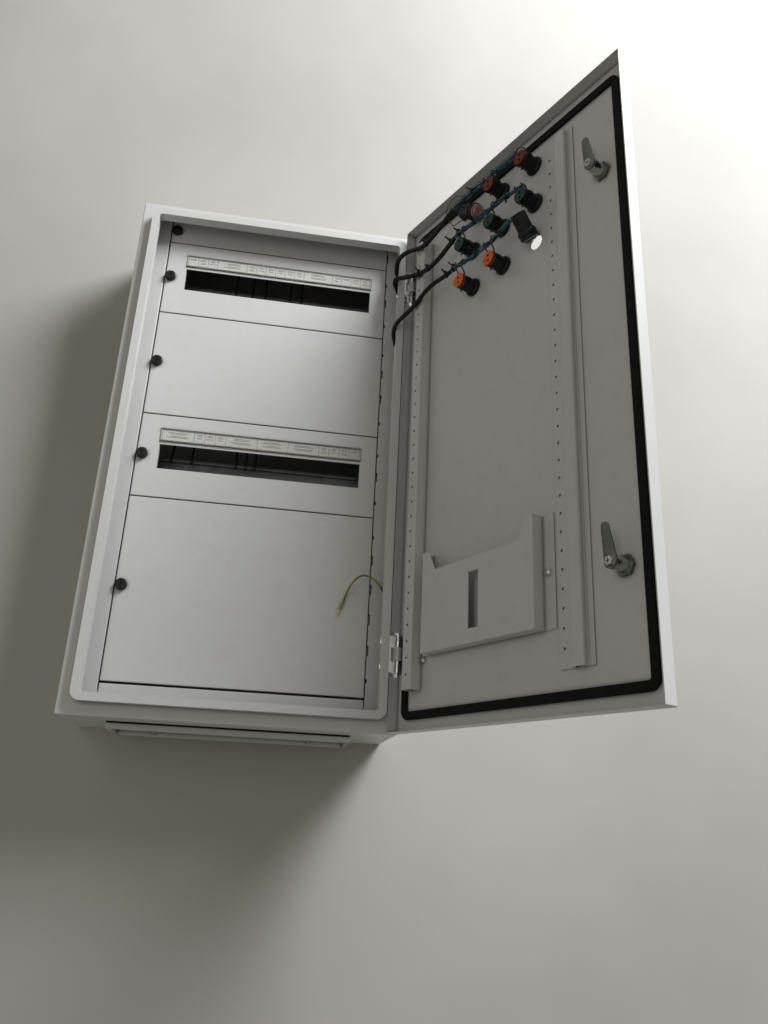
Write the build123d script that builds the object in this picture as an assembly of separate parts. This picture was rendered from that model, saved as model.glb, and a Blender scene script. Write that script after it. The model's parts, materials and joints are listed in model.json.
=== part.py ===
from build123d import *
import math
import os

# A wall-mounted distribution panel: a folded steel cabinet with a raised sealing rim, five
# small hinged covers over the wiring space, and a gasketed door that carries signal lamps.
#
# The part's frame has its origin on the back face, midway between the four wall holes.
# X runs to the right, Y runs into the wall and Z runs up, so the front faces -Y.
#
# Pieces are drawn as the panel is measured on a bench: x from the left edge, y up from the
# bottom edge, z outward from the front face of the flange. The door is drawn shut and is then
# swung to the angle at which it rests. All lengths are in millimetres, all angles in degrees.

os.makedirs("parts", exist_ok=True)

# Cabinet
WIDTH = 500.0
HEIGHT = 910.0
BODY_DEPTH = 177.0
SHEET = 1.5
FOLD_RADIUS = 2.0
FLANGE = 20.0
RIM_TOP = 12.0
RIM_HEIGHT = 17.0
RIM_CORNER = 14.0
RIM_INNER_CORNER = 6.0
RIM_RETURN_END = -2.0
RIM_LIP = 5.0
WALL_HOLE = 8.5
WALL_HOLE_INSET = 40.0

# Cable ways at the hinge side, each from its lower to its upper end
LOOM_NOTCHES_BELOW_TOP = ((130.0, 62.0), (238.0, 194.0))
CABLE_SLOTS_BELOW_TOP = ((155.0, 98.0), (262.0, 230.0))
EARTH_WIRE_SLOT = (188.0, 214.0)
CABLE_SLOT_WIDTH = 14.0
CABLE_SLOT_INSET = 20.5

# Gland plate under the cabinet
GLAND_PLATE_MARGIN = 66.0
GLAND_PLATE_DEPTH = 105.0
GLAND_PLATE_SETBACK = 50.0
GLAND_PLATE_EDGE = 9.0
GLAND_GASKET = 2.0
GLAND_OPENING_MARGIN = 14.0
GLAND_SLOT_LENGTH = 93.0
GLAND_SLOT_WIDTH = 30.0
GLAND_SLOT_PITCH = 101.0
GLAND_SCREWS_ACROSS = 250.0
GLAND_SCREW_MARGIN = 7.5
GLAND_SCREW = 4.0
SCREW_HEAD_HEIGHT = 2.6

# Inner covers above a fixed strip, from the bottom up; the lowest takes the height that is left
COVER_FACE = -30.0
COVER_SHEET = 1.2
COVER_FOLD = 10.0
COVER_MARGIN = 50.0
UPPER_COVER_ROWS = (150.0, 200.0, 150.0, 50.0)
COVER_STACK_BASE = 5.0
BOTTOM_STRIP_HEIGHT = 50.0
BOTTOM_STRIP_GAP = 2.5
BOTTOM_STRIP_EAR = 14.0
COVER_GAP = 1.4
COVER_EDGE_RADIUS = 1.5
SLOT_HEIGHT = 44.0
SLOT_MARGIN_LEFT = 35.0
SLOT_MARGIN_RIGHT = 28.0
SLOT_DROP = 1.5
SLOT_LIP = 8.0

# Strips beside the covers
STRIP_WALL_GAP = 0.5
LEFT_STRIP_GAP = 1.5
RIGHT_STRIP_GAP = 1.2
STRIP_FOLD = 10.0

# Cover hinge: hooks on the covers that turn behind the right strip
HOOK_PITCH = 50.0
HOOK_WIDTH = 15.0
HOOK_RADIUS = 8.0
HOOK_START = -98.0
HOOK_END = -12.0
HOOK_NOTCH_LENGTH = 17.0
HOOK_NOTCH_WIDTH = 2.2
EDGE_DOT_LENGTH = 6.0
LOWER_DOT_INSET = 27.0
UPPER_DOT_INSET = 35.0

# Cover knobs
KNOB_INSET = 9.5
KNOB_DIAMETER = 18.0
KNOB_HEIGHT = 8.0
KNOB_SHAFT = 8.0
KNOB_SEAT_GAP = 0.1
KNOB_COIN_SLOT_WIDTH = 2.2
KNOB_COIN_SLOT_DEPTH = 2.0
TONGUE_LENGTH = 17.0
TONGUE_WIDTH = 12.0
TONGUE_SHEET = 2.0
TONGUE_GAP = 0.5

# Clear holders over the slots and the paper strips in them
HOLDER_HEIGHT = 25.0
HOLDER_LIFT = 4.5
HOLDER_OVERHANG = 1.0
HOLDER_DEPTH = 2.4
HOLDER_WALL = 0.8
HOLDER_LIP = 2.6
LABEL_HEIGHT = 20.0
LABEL_SHEET = 0.4

# Frame inside the cabinet
UPRIGHT_SHEET = 2.0
UPRIGHT_INSET = 8.0
UPRIGHT_FLANGE = 25.0
UPRIGHT_FOOT = 30.0
DIN_RAIL_HEIGHT = 35.0
DIN_RAIL_DEPTH = 7.5
DIN_RAIL_SHEET = 1.0
DIN_RAIL_CHANNEL = 27.0
DIN_RAIL_SETBACK = 78.0
BRACKET_SHEET = 2.0
BRACKET_HEIGHT = 40.0
BRACKET_LEG = 38.0
EARTH_BAR_HEIGHT = 12.0
EARTH_BAR_THICKNESS = 3.0
EARTH_BAR_LENGTH = 260.0
EARTH_BAR_LIFT = 24.0
EARTH_BAR_FOOT = 16.0
EARTH_BAR_LEVEL = 118.0
EARTH_BAR_HOLE = 5.0
EARTH_BAR_HOLE_PITCH = 20.0

# Door
DOOR_GAP = 3.0
DOOR_DEPTH = 20.0
DOOR_EDGE_RADIUS = 2.0
REST_OPEN = 116.0
HINGE_INSET = 6.0
HINGE_OUT = 14.5
HINGE_END_DISTANCE = 119.0
HINGE_NOTCH_LENGTH = 70.0
HINGE_NOTCH_DEPTH = 15.0
GASKET_SIDE_INSET = 15.0
GASKET_END_INSET = 19.0
GASKET_WIDTH = 12.0
GASKET_RIM_GAP = 0.3
GASKET_CORNER = 16.0

# Door hinges
PIN_DIAMETER = 4.0
PIN_HEAD = 6.0
PIN_HEAD_HEIGHT = 1.5
KNUCKLE_DIAMETER = 8.4
DOOR_KNUCKLE_DIAMETER = 10.5
DOOR_KNUCKLE = 20.4
SIDE_KNUCKLE = 18.0
KNUCKLE_GAP = 0.3
HINGE_BLOCK_LOW = 5.8
HINGE_BLOCK_HIGH = 15.5
HINGE_BLOCK_ROOT = 3.0
HINGE_BLOCK_PLATE = 5.5
HINGE_WEB_TOP = 10.0
HINGE_LEAF_THICKNESS = 2.0
HINGE_LEAF_LENGTH = 11.0
BOLT_DIAMETER = 5.0
BOLT_HEAD_FLATS = 8.0
BOLT_HEAD_HEIGHT = 2.5
BOLT_DEPTH = 4.5

# Door stiffeners
HINGE_RAIL_FROM = 36.0
HINGE_RAIL_WIDTH = 22.0
HINGE_RAIL_HEIGHT = 21.0
HINGE_RAIL_BOTTOM = 60.0
HINGE_RAIL_BELOW_TOP = 50.0
LOCK_RAIL_INSET = 160.0
LOCK_RAIL_FLANGE = 26.0
LOCK_RAIL_FACE = 17.0
LOCK_RAIL_FOOT = 12.0
LOCK_RAIL_HEIGHT = 10.0
LOCK_RAIL_BOTTOM = 57.0
LOCK_RAIL_BELOW_TOP = 48.0
LOCK_RAIL_HOLE_INSET = 7.5
RAIL_HOLE = 4.0
RAIL_HOLE_PITCH = 25.0
RAIL_FIRST_HOLE = 82.0

# Document pocket
POCKET_FROM = 80.0
POCKET_RAIL_GAP = 5.0
POCKET_FLANGE = 20.0
POCKET_BOTTOM = 109.0
POCKET_TOP = 262.0
POCKET_DEPTH = 20.0
POCKET_SHEET = 1.2
POCKET_NOTCH_DEPTH = 31.0
POCKET_NOTCH_MARGIN = 13.0
POCKET_NOTCH_SLOPE = 18.0
POCKET_SLOT_WIDTH = 21.0
POCKET_SLOT_BOTTOM = 129.0
POCKET_SLOT_TOP = 210.0
DOOR_NUT_FLATS = 8.0
DOOR_NUT_HEIGHT = 4.0
POCKET_NUT_LEVEL = 183.0
EARTH_NUT = (64.5, 103.5)

# Quarter-turn locks
LOCK_INSET = 54.0
LOWER_LOCK_LEVEL = 165.0
UPPER_LOCK_BELOW_TOP = 171.0
LOCK_BARREL = 18.0
LOCK_HEAD = 26.0
LOCK_HEAD_HEIGHT = 5.0
LOCK_NUT_FLATS = 24.0
LOCK_NUT_HEIGHT = 5.5
LOCK_BARREL_END = -3.3
SPINDLE_DIAMETER = 12.0
SPINDLE_SUNK = 1.5
SPINDLE_SQUARE = 8.0
KEY_PIN = 4.4
KEY_WELL = 8.4
KEY_WING = 3.0
KEY_DEPTH = 8.0
CAM_SHEET = 3.0
CAM_LENGTH = 50.0
CAM_HUB_RADIUS = 9.0
CAM_TIP_RADIUS = 5.5
CAM_REST_TILT = -8.0
CAM_GAP = 0.2
CAM_SCREW = 6.0
CAM_SCREW_HEAD = 10.0
CAM_SCREW_HEAD_HEIGHT = 4.0
CAM_SCREW_DEPTH = 9.0

# Signal lamps
LAMP_PITCH = 72.0
LAMP_RAIL_GAP = 25.0
LAMP_ROWS_BELOW_TOP = (208.0, 136.0, 64.0)
LAMP_BARREL = 22.0
LAMP_BEZEL = 28.0
LAMP_BEZEL_HEIGHT = 6.0
LAMP_LENS = 20.0
LAMP_LENS_HEIGHT = 4.0
LAMP_NUT = 30.0
LAMP_NUT_FRONT = 26.0
LAMP_NUT_HEIGHT = 7.0
LAMP_BACK = 24.0
LAMP_SHOULDER = 7.5
LAMP_BACK_REACH = 27.5
TERMINAL_HEIGHT = 6.0
TERMINAL_SCREW = 4.4
TERMINAL_SCREW_DEPTH = 3.0
TERMINAL_SCREW_APART = 9.0
LUG_WIDTH = 5.0
LUG_DEPTH = 8.0
LUG_PROUD = 3.0

# Cables
LOOM_DIAMETER = 8.0
LOOM_LOWER_DIAMETER = 7.5
EARTH_WIRE_DIAMETER = 3.5
INNER_WIRE_DIAMETER = 4.0
LAMP_WIRES_DIAMETER = 8.0
DROP_WIRE_DIAMETER = 3.0
TIE_WIDTH = 3.0
TIE_THICKNESS = 1.1
ROUTE_ARC_SHARE = 0.45

# Clearances
RUNNING_FIT = 0.05
SLIP_FIT = 0.1
BOLT_HOLE_FIT = 0.25

# Planes and lines that follow from the sizes above
BACK_INNER = -BODY_DEPTH + SHEET
RIM_OUTER_X = WIDTH - FLANGE
RIM_INNER_X = RIM_OUTER_X - RIM_TOP
COVER_LEFT = COVER_MARGIN
COVER_RIGHT = WIDTH - COVER_MARGIN
SLOT_LEFT = COVER_LEFT + SLOT_MARGIN_LEFT
SLOT_RIGHT = COVER_RIGHT - SLOT_MARGIN_RIGHT
LOWEST_COVER_ROW = HEIGHT - 2 * COVER_STACK_BASE - BOTTOM_STRIP_HEIGHT - sum(UPPER_COVER_ROWS)
COVER_ROWS = (LOWEST_COVER_ROW, *UPPER_COVER_ROWS)
COVER_BACK = COVER_FACE - COVER_FOLD
COVER_HINGE_X = COVER_RIGHT + RIGHT_STRIP_GAP / 2
STRIP_BACK = COVER_FACE - COVER_SHEET
DOOR_LIP = DOOR_GAP
DOOR_FACE = DOOR_GAP + DOOR_DEPTH
DOOR_INNER = DOOR_FACE - SHEET
DOOR_HINGE_X = WIDTH - HINGE_INSET
KNOB_X = COVER_LEFT + KNOB_INSET
WALL_HOLES_ACROSS = WIDTH - 2 * WALL_HOLE_INSET
WALL_HOLES_UP = HEIGHT - 2 * WALL_HOLE_INSET
HINGE_LEVELS = (HINGE_END_DISTANCE, HEIGHT - HINGE_END_DISTANCE)
LOCK_LEVELS = {"lower": LOWER_LOCK_LEVEL, "upper": HEIGHT - UPPER_LOCK_BELOW_TOP}
LOCK_RAIL_FROM = WIDTH - LOCK_RAIL_INSET
LAMP_COLUMNS = tuple(LOCK_RAIL_FROM - LAMP_RAIL_GAP - LAMP_PITCH * k for k in (2, 1, 0))
LAMP_ROWS = tuple(HEIGHT - distance for distance in LAMP_ROWS_BELOW_TOP)
POCKET_WIDTH = LOCK_RAIL_FROM - POCKET_RAIL_GAP - POCKET_FLANGE - POCKET_FROM
POCKET_NUT = (POCKET_FROM + POCKET_WIDTH + POCKET_FLANGE / 2, POCKET_NUT_LEVEL)
LOOM_NOTCHES = tuple((HEIGHT - low, HEIGHT - high) for low, high in LOOM_NOTCHES_BELOW_TOP)
CABLE_SLOTS = (*[(HEIGHT - low, HEIGHT - high) for low, high in CABLE_SLOTS_BELOW_TOP], EARTH_WIRE_SLOT)
HINGE_RAIL_TOP = HEIGHT - HINGE_RAIL_BELOW_TOP
LOCK_RAIL_TOP = HEIGHT - LOCK_RAIL_BELOW_TOP
GLAND_PLATE_WIDTH = WIDTH - 2 * GLAND_PLATE_MARGIN
GLAND_FRONT = -GLAND_PLATE_SETBACK
GLAND_BACK = GLAND_FRONT - GLAND_PLATE_DEPTH
SIDE_KNUCKLE_CENTRE = DOOR_KNUCKLE / 2 + KNUCKLE_GAP + SIDE_KNUCKLE / 2
HINGE_BLOCK_LENGTH = 2 * SIDE_KNUCKLE_CENTRE + SIDE_KNUCKLE

# The bench frame (x right, y up, z out of the wall) set into the part's frame
BENCH = Plane(origin=(-WIDTH / 2, -BODY_DEPTH, -HEIGHT / 2), x_dir=(1, 0, 0), z_dir=(0, -1, 0))
DOOR_AXIS = Axis((DOOR_HINGE_X, 0, HINGE_OUT), (0, 1, 0))


def save(name, *solids):
    """Write one node, moved from the bench frame into the part's frame."""
    shapes = []
    for solid in solids:
        shapes.extend((BENCH.location * solid).solids())
    export_step(shapes[0] if len(shapes) == 1 else Compound(children=shapes), f"parts/{name}.step")


def block(x_from, x_to, y_from, y_to, z_from, z_to):
    """A rectangular piece between two corners."""
    size = (x_to - x_from, y_to - y_from, z_to - z_from)
    return Pos(x_from, y_from, z_from) * Box(*size, align=(Align.MIN, Align.MIN, Align.MIN))


def rod(x, y, z_from, z_to, diameter):
    """A round piece or bore that points out of the panel."""
    return Pos(x, y, z_from) * Cylinder(
        diameter / 2, z_to - z_from, align=(Align.CENTER, Align.CENTER, Align.MIN)
    )


def upright_rod(x, y_from, y_to, z, diameter):
    """A round piece or bore that runs up the panel."""
    section = Pos(x, z) * Circle(diameter / 2)
    return along_height(section, y_from, y_to)


def cross_rod(x_from, x_to, y, z, diameter):
    """A round piece or bore that runs across the panel."""
    section = Pos(z, y) * Circle(diameter / 2)
    return along_width(section, x_from, x_to)


def hexagon(flats):
    """A hexagon given by the distance across its flats."""
    return RegularPolygon(flats / 2, 6, major_radius=False)


def along_height(section, y_from, y_to):
    """Extrude a section drawn in (x, z) up the panel."""
    plane = Plane(origin=(0, y_to, 0), x_dir=(1, 0, 0), z_dir=(0, -1, 0))
    return extrude(plane * section, amount=y_to - y_from)


def along_width(section, x_from, x_to):
    """Extrude a section drawn in (z, y) across the panel."""
    plane = Plane(origin=(x_to, 0, 0), x_dir=(0, 0, 1), z_dir=(-1, 0, 0))
    return extrude(plane * section, amount=x_to - x_from)


def folded(points, thickness, bend):
    """The section of a folded sheet whose middle follows the given points."""
    return trace(FilletPolyline(*points, radius=bend), line_width=thickness)


def edge_outline(inset, radius):
    """A rounded outline that follows the panel's edge at a distance."""
    outline = RectangleRounded(WIDTH - 2 * inset, HEIGHT - 2 * inset, radius)
    return Pos(WIDTH / 2, HEIGHT / 2) * outline


def edge_ring(outer_inset, outer_radius, inner_inset, inner_radius, z_from, z_to):
    """A ring that runs round the panel between two outlines."""
    section = edge_outline(outer_inset, outer_radius) - edge_outline(inner_inset, inner_radius)
    return Pos(0, 0, z_from) * extrude(section, amount=z_to - z_from)


def mirrored(x):
    """The same distance from the right edge instead of the left."""
    return WIDTH - x


def swung(shape):
    """A piece of the door, drawn shut, at the angle where the door rests."""
    return shape.rotate(DOOR_AXIS, REST_OPEN)


def inside_point(from_hinge_edge, down, out):
    """A point inside the cabinet, given from its hinge edge and its top."""
    return (WIDTH - from_hinge_edge, HEIGHT - down, out)


def door_point(from_hinge_edge, down, out):
    """A point given on the shut door from the same edges, at the angle where the door rests."""
    angle = math.radians(REST_OPEN)
    across = WIDTH - from_hinge_edge - DOOR_HINGE_X
    ahead = out - HINGE_OUT
    x = DOOR_HINGE_X + across * math.cos(angle) + ahead * math.sin(angle)
    z = HINGE_OUT - across * math.sin(angle) + ahead * math.cos(angle)
    return (x, HEIGHT - down, z)


def cover_spans():
    """The lower and upper edge of each cover's place, from the bottom up."""
    spans = []
    low = COVER_STACK_BASE + BOTTOM_STRIP_HEIGHT
    for height in COVER_ROWS:
        spans.append((low, low + height))
        low += height
    return spans


def hook_levels(low, high):
    """Heights of the hinge hooks of one cover."""
    count = max(1, round((high - low) / HOOK_PITCH) - 2)
    middle = (low + high) / 2
    return [middle + (i - (count - 1) / 2) * HOOK_PITCH for i in range(count)]


def slot_span(low, high):
    """Lower and upper edge of the breaker slot in a cover."""
    middle = (low + high) / 2 - SLOT_DROP
    return middle - SLOT_HEIGHT / 2, middle + SLOT_HEIGHT / 2


# Cabinet body
def enclosure_body():
    shell = block(0, WIDTH, 0, HEIGHT, -BODY_DEPTH, 0)
    shell = fillet(shell.edges().filter_by(Axis.Z), FOLD_RADIUS)
    shell = fillet(shell.faces().sort_by(Axis.Z)[-1].edges(), FOLD_RADIUS)
    shell -= block(SHEET, WIDTH - SHEET, SHEET, HEIGHT - SHEET, BACK_INNER, -SHEET)
    shell -= Pos(0, 0, -SHEET) * extrude(edge_outline(FLANGE + SHEET, RIM_CORNER - SHEET), amount=SHEET)

    inner = FLANGE + RIM_TOP
    wall = edge_ring(FLANGE, RIM_CORNER, FLANGE + SHEET, RIM_CORNER - SHEET, -SHEET, RIM_HEIGHT)
    top = edge_ring(FLANGE, RIM_CORNER, inner, RIM_INNER_CORNER, RIM_HEIGHT - SHEET, RIM_HEIGHT)
    inside = edge_ring(inner - SHEET, RIM_INNER_CORNER + SHEET, inner, RIM_INNER_CORNER,
                       RIM_RETURN_END, RIM_HEIGHT)
    body = shell + wall + top + inside

    for low, high in LOOM_NOTCHES:
        body -= block(RIM_INNER_X - SHEET, RIM_INNER_X + 2 * SHEET, low, high,
                      RIM_RETURN_END - SHEET, RIM_HEIGHT - RIM_LIP)
    for x in (-WALL_HOLES_ACROSS / 2, WALL_HOLES_ACROSS / 2):
        for y in (-WALL_HOLES_UP / 2, WALL_HOLES_UP / 2):
            body -= rod(WIDTH / 2 + x, HEIGHT / 2 + y, -BODY_DEPTH - SHEET, BACK_INNER + SHEET, WALL_HOLE)
    for y in bolt_levels():
        body -= cross_rod(RIM_INNER_X - SHEET, RIM_OUTER_X + SHEET, y, bolt_out(),
                          BOLT_DIAMETER + 2 * BOLT_HOLE_FIT)
    body -= gland_opening(-SHEET, 2 * SHEET)
    for x, z in gland_screw_places():
        body -= screw_bore(x, z, -SHEET, 2 * SHEET, GLAND_SCREW + 2 * SLIP_FIT)
    return body


# Gland plate
def gland_opening(y_from, y_to):
    """The opening in the cabinet's floor that the gland plate covers."""
    half = GLAND_PLATE_WIDTH / 2 - GLAND_OPENING_MARGIN
    return block(WIDTH / 2 - half, WIDTH / 2 + half, y_from, y_to,
                 GLAND_BACK + GLAND_OPENING_MARGIN, GLAND_FRONT - GLAND_OPENING_MARGIN)


def gland_screw_places():
    places = []
    for side in (-GLAND_SCREWS_ACROSS / 2, GLAND_SCREWS_ACROSS / 2):
        for z in (GLAND_FRONT - GLAND_SCREW_MARGIN, GLAND_BACK + GLAND_SCREW_MARGIN):
            places.append((WIDTH / 2 + side, z))
    return places


def screw_bore(x, z, y_from, y_to, diameter):
    return upright_rod(x, y_from, y_to, z, diameter)


def gland_slab(y_from, y_to):
    """The gland plate's outline between two levels."""
    half = GLAND_PLATE_WIDTH / 2
    return block(WIDTH / 2 - half, WIDTH / 2 + half, y_from, y_to, GLAND_BACK, GLAND_FRONT)


def gland_gasket():
    gasket = gland_slab(-GLAND_GASKET, 0) - gland_opening(-2 * GLAND_GASKET, GLAND_GASKET)
    for x, z in gland_screw_places():
        gasket -= screw_bore(x, z, -2 * GLAND_GASKET, GLAND_GASKET, GLAND_SCREW + 2 * SLIP_FIT)
    return gasket


def gland_plate():
    top = -GLAND_GASKET
    bottom = top - GLAND_PLATE_EDGE
    plate = gland_slab(bottom, top)
    plate = fillet(plate.faces().sort_by(Axis.Y)[-1].edges(), SHEET)
    half = GLAND_PLATE_WIDTH / 2 - SHEET
    plate -= block(WIDTH / 2 - half, WIDTH / 2 + half, bottom, top - SHEET,
                   GLAND_BACK + SHEET, GLAND_FRONT - SHEET)
    slot = RectangleRounded(GLAND_SLOT_LENGTH, GLAND_SLOT_WIDTH, SHEET)
    middle = (GLAND_FRONT + GLAND_BACK) / 2
    for place in (-GLAND_SLOT_PITCH, 0, GLAND_SLOT_PITCH):
        plate -= along_height(Pos(WIDTH / 2 + place, middle) * slot, top - 2 * SHEET, top + SHEET)
    for x, z in gland_screw_places():
        plate -= screw_bore(x, z, bottom, top + SHEET, GLAND_SCREW + 2 * SLIP_FIT)
    return plate


def gland_screw(x, z):
    under = -GLAND_GASKET - SHEET
    head = along_height(Pos(x, z) * hexagon(2 * GLAND_SCREW), under - SCREW_HEAD_HEIGHT, under)
    return head + upright_rod(x, under, 2 * SHEET, z, GLAND_SCREW)


# Inner covers
def cover(index):
    low, high = cover_spans()[index]
    low += COVER_GAP / 2
    high -= COVER_GAP / 2
    middle = (low + high) / 2
    sheet = block(COVER_LEFT, COVER_RIGHT, low, high, COVER_BACK, COVER_FACE)
    sheet = fillet(sheet.faces().sort_by(Axis.Z)[-1].edges(), COVER_EDGE_RADIUS)
    sheet -= block(COVER_LEFT + COVER_SHEET, COVER_RIGHT - COVER_SHEET, low + COVER_SHEET,
                   high - COVER_SHEET, COVER_BACK - COVER_SHEET, STRIP_BACK)
    sheet -= rod(KNOB_X, middle, COVER_BACK, COVER_FACE + COVER_SHEET, KNOB_SHAFT + 2 * RUNNING_FIT)
    if index in SLOTTED_COVERS:
        bottom, top = slot_span(*cover_spans()[index])
        sheet -= block(SLOT_LEFT, SLOT_RIGHT, bottom, top, STRIP_BACK - COVER_SHEET,
                       COVER_FACE + COVER_SHEET)
        for edge in (SLOT_LEFT - COVER_SHEET, SLOT_RIGHT):
            sheet += block(edge, edge + COVER_SHEET, bottom, top, STRIP_BACK - SLOT_LIP, STRIP_BACK)
    for level in hook_levels(*cover_spans()[index]):
        sheet += along_height(hook_section(), level - HOOK_WIDTH / 2, level + HOOK_WIDTH / 2)
    return sheet


def hook_section():
    """An arc of sheet about the cover's hinge line."""
    centre = (COVER_HINGE_X, COVER_FACE)
    sweep_angle = HOOK_END - HOOK_START
    outer = CenterArc(centre, HOOK_RADIUS + COVER_SHEET / 2, HOOK_START, sweep_angle)
    inner = CenterArc(centre, HOOK_RADIUS - COVER_SHEET / 2, HOOK_START, sweep_angle)
    ends = [Line(outer @ 0, inner @ 0), Line(outer @ 1, inner @ 1)]
    return make_face([outer, inner, *ends])


def bottom_strip():
    low = COVER_STACK_BASE
    high = COVER_STACK_BASE + BOTTOM_STRIP_HEIGHT - BOTTOM_STRIP_GAP
    sheet = block(COVER_LEFT, COVER_RIGHT, low, high, COVER_BACK, COVER_FACE)
    sheet = fillet(sheet.faces().sort_by(Axis.Z)[-1].edges(), COVER_EDGE_RADIUS)
    sheet -= block(COVER_LEFT - COVER_SHEET, COVER_RIGHT + COVER_SHEET, low + COVER_SHEET,
                   high - COVER_SHEET, COVER_BACK - COVER_SHEET, STRIP_BACK)
    ears = block(COVER_LEFT - BOTTOM_STRIP_EAR, COVER_RIGHT + BOTTOM_STRIP_EAR, low + COVER_FOLD,
                 high - COVER_FOLD, STRIP_BACK - COVER_SHEET, STRIP_BACK)
    return sheet + ears


def left_strip():
    left = SHEET + STRIP_WALL_GAP
    right = COVER_LEFT - LEFT_STRIP_GAP
    middle = COVER_FACE - COVER_SHEET / 2
    edge = right - COVER_SHEET / 2
    section = folded([(left, middle), (edge, middle), (edge, COVER_FACE - STRIP_FOLD)],
                     COVER_SHEET, COVER_SHEET)
    strip = along_height(section, COVER_STACK_BASE, HEIGHT - COVER_STACK_BASE)
    ear_low = COVER_STACK_BASE + COVER_FOLD - SLIP_FIT
    ear_high = COVER_STACK_BASE + BOTTOM_STRIP_HEIGHT - BOTTOM_STRIP_GAP - COVER_FOLD + SLIP_FIT
    return strip - block(right - 2 * COVER_SHEET, right, ear_low, ear_high,
                         COVER_FACE - STRIP_FOLD, STRIP_BACK)


def right_strip():
    left = COVER_RIGHT + RIGHT_STRIP_GAP
    right = WIDTH - SHEET - STRIP_WALL_GAP
    strip = block(left, right, COVER_STACK_BASE, HEIGHT - COVER_STACK_BASE, STRIP_BACK, COVER_FACE)
    for low, high in cover_spans():
        for level in hook_levels(low, high):
            strip -= edge_notch(left, level, HOOK_NOTCH_LENGTH)
        strip -= edge_notch(left, low + LOWER_DOT_INSET, EDGE_DOT_LENGTH)
        if high - low > LOWER_DOT_INSET + UPPER_DOT_INSET:
            strip -= edge_notch(left, high - UPPER_DOT_INSET, EDGE_DOT_LENGTH)
    return strip - cable_slots(STRIP_BACK - COVER_SHEET, COVER_FACE + COVER_SHEET)


def edge_notch(left, level, length):
    return block(left - COVER_SHEET, left + HOOK_NOTCH_WIDTH, level - length / 2, level + length / 2,
                 STRIP_BACK - COVER_SHEET, COVER_FACE + COVER_SHEET)


def cable_slots(z_from, z_to):
    """Slots at the hinge side through which cables leave the wiring space."""
    slots = []
    for low, high in CABLE_SLOTS:
        outline = Pos(mirrored(CABLE_SLOT_INSET), (low + high) / 2) * Rot(0, 0, 90) * SlotOverall(
            high - low, CABLE_SLOT_WIDTH
        )
        slots.append(Pos(0, 0, z_from) * extrude(outline, amount=z_to - z_from))
    return slots


# Clear holders and paper strips
def holder_place(index):
    """Left, right, bottom and middle height of the holder over a slot."""
    bottom = slot_span(*cover_spans()[index])[1] + HOLDER_LIFT
    return SLOT_LEFT - HOLDER_OVERHANG, SLOT_RIGHT + HOLDER_OVERHANG, bottom, bottom + HOLDER_HEIGHT / 2


def label_holder(index):
    left, right, bottom, middle = holder_place(index)
    half = (HOLDER_HEIGHT - HOLDER_WALL) / 2
    back = COVER_FACE + HOLDER_WALL / 2
    front = COVER_FACE + HOLDER_DEPTH - HOLDER_WALL / 2
    points = [(front, middle - half + HOLDER_LIP), (front, middle - half), (back, middle - half),
              (back, middle + half), (front, middle + half), (front, middle + half - HOLDER_LIP)]
    return along_width(folded(points, HOLDER_WALL, HOLDER_WALL / 2 + SLIP_FIT), left, right)


def label_strip(index):
    left, right, bottom, middle = holder_place(index)
    back = COVER_FACE + HOLDER_WALL
    return block(left + HOLDER_WALL, right - HOLDER_WALL, middle - LABEL_HEIGHT / 2,
                 middle + LABEL_HEIGHT / 2, back, back + LABEL_SHEET)


# Cover knobs
def knob(index):
    low, high = cover_spans()[index]
    middle = (low + high) / 2
    seat = COVER_FACE + KNOB_SEAT_GAP
    head = rod(KNOB_X, middle, seat, COVER_FACE + KNOB_HEIGHT, KNOB_DIAMETER)
    head = fillet(head.faces().sort_by(Axis.Z)[-1].edges(), COVER_EDGE_RADIUS)
    slot = KNOB_COIN_SLOT_WIDTH / 2
    head -= block(KNOB_X - slot, KNOB_X + slot, middle - KNOB_DIAMETER, middle + KNOB_DIAMETER,
                  COVER_FACE + KNOB_HEIGHT - KNOB_COIN_SLOT_DEPTH, COVER_FACE + KNOB_HEIGHT + SHEET)
    tongue_front = COVER_BACK - TONGUE_GAP
    tongue_back = tongue_front - TONGUE_SHEET
    shaft = rod(KNOB_X, middle, tongue_back, seat, KNOB_SHAFT)
    tip = TONGUE_LENGTH - TONGUE_WIDTH / 2
    outline = Pos(KNOB_X, middle) * (
        Pos(0, tip / 2) * Rectangle(TONGUE_WIDTH, tip)
        + Circle(TONGUE_WIDTH / 2)
        + Pos(0, tip) * Circle(TONGUE_WIDTH / 2)
    )
    return head + shaft + Pos(0, 0, tongue_back) * extrude(outline, amount=TONGUE_SHEET)


# Frame inside
def upright(place):
    """A folded channel; place mirrors the left one for the right side."""
    web = UPRIGHT_INSET + UPRIGHT_SHEET / 2
    front = STRIP_BACK - UPRIGHT_SHEET / 2
    back = BACK_INNER + UPRIGHT_SHEET / 2
    points = [(UPRIGHT_INSET + UPRIGHT_FLANGE, front), (web, front), (web, back),
              (UPRIGHT_INSET + UPRIGHT_FOOT, back)]
    section = folded([(place(x), z) for x, z in points], UPRIGHT_SHEET, FOLD_RADIUS)
    channel = along_height(section, COVER_STACK_BASE, HEIGHT - COVER_STACK_BASE)
    for y in (-WALL_HOLES_UP / 2, WALL_HOLES_UP / 2):
        centre = place(WIDTH / 2 - WALL_HOLES_ACROSS / 2)
        channel -= rod(centre, HEIGHT / 2 + y, BACK_INNER - SHEET, BACK_INNER + 2 * UPRIGHT_SHEET,
                       2 * WALL_HOLE)
    return channel


def rail_level(index):
    """Height of the mounting rail behind a slotted cover."""
    bottom, top = slot_span(*cover_spans()[index])
    return (bottom + top) / 2


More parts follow.
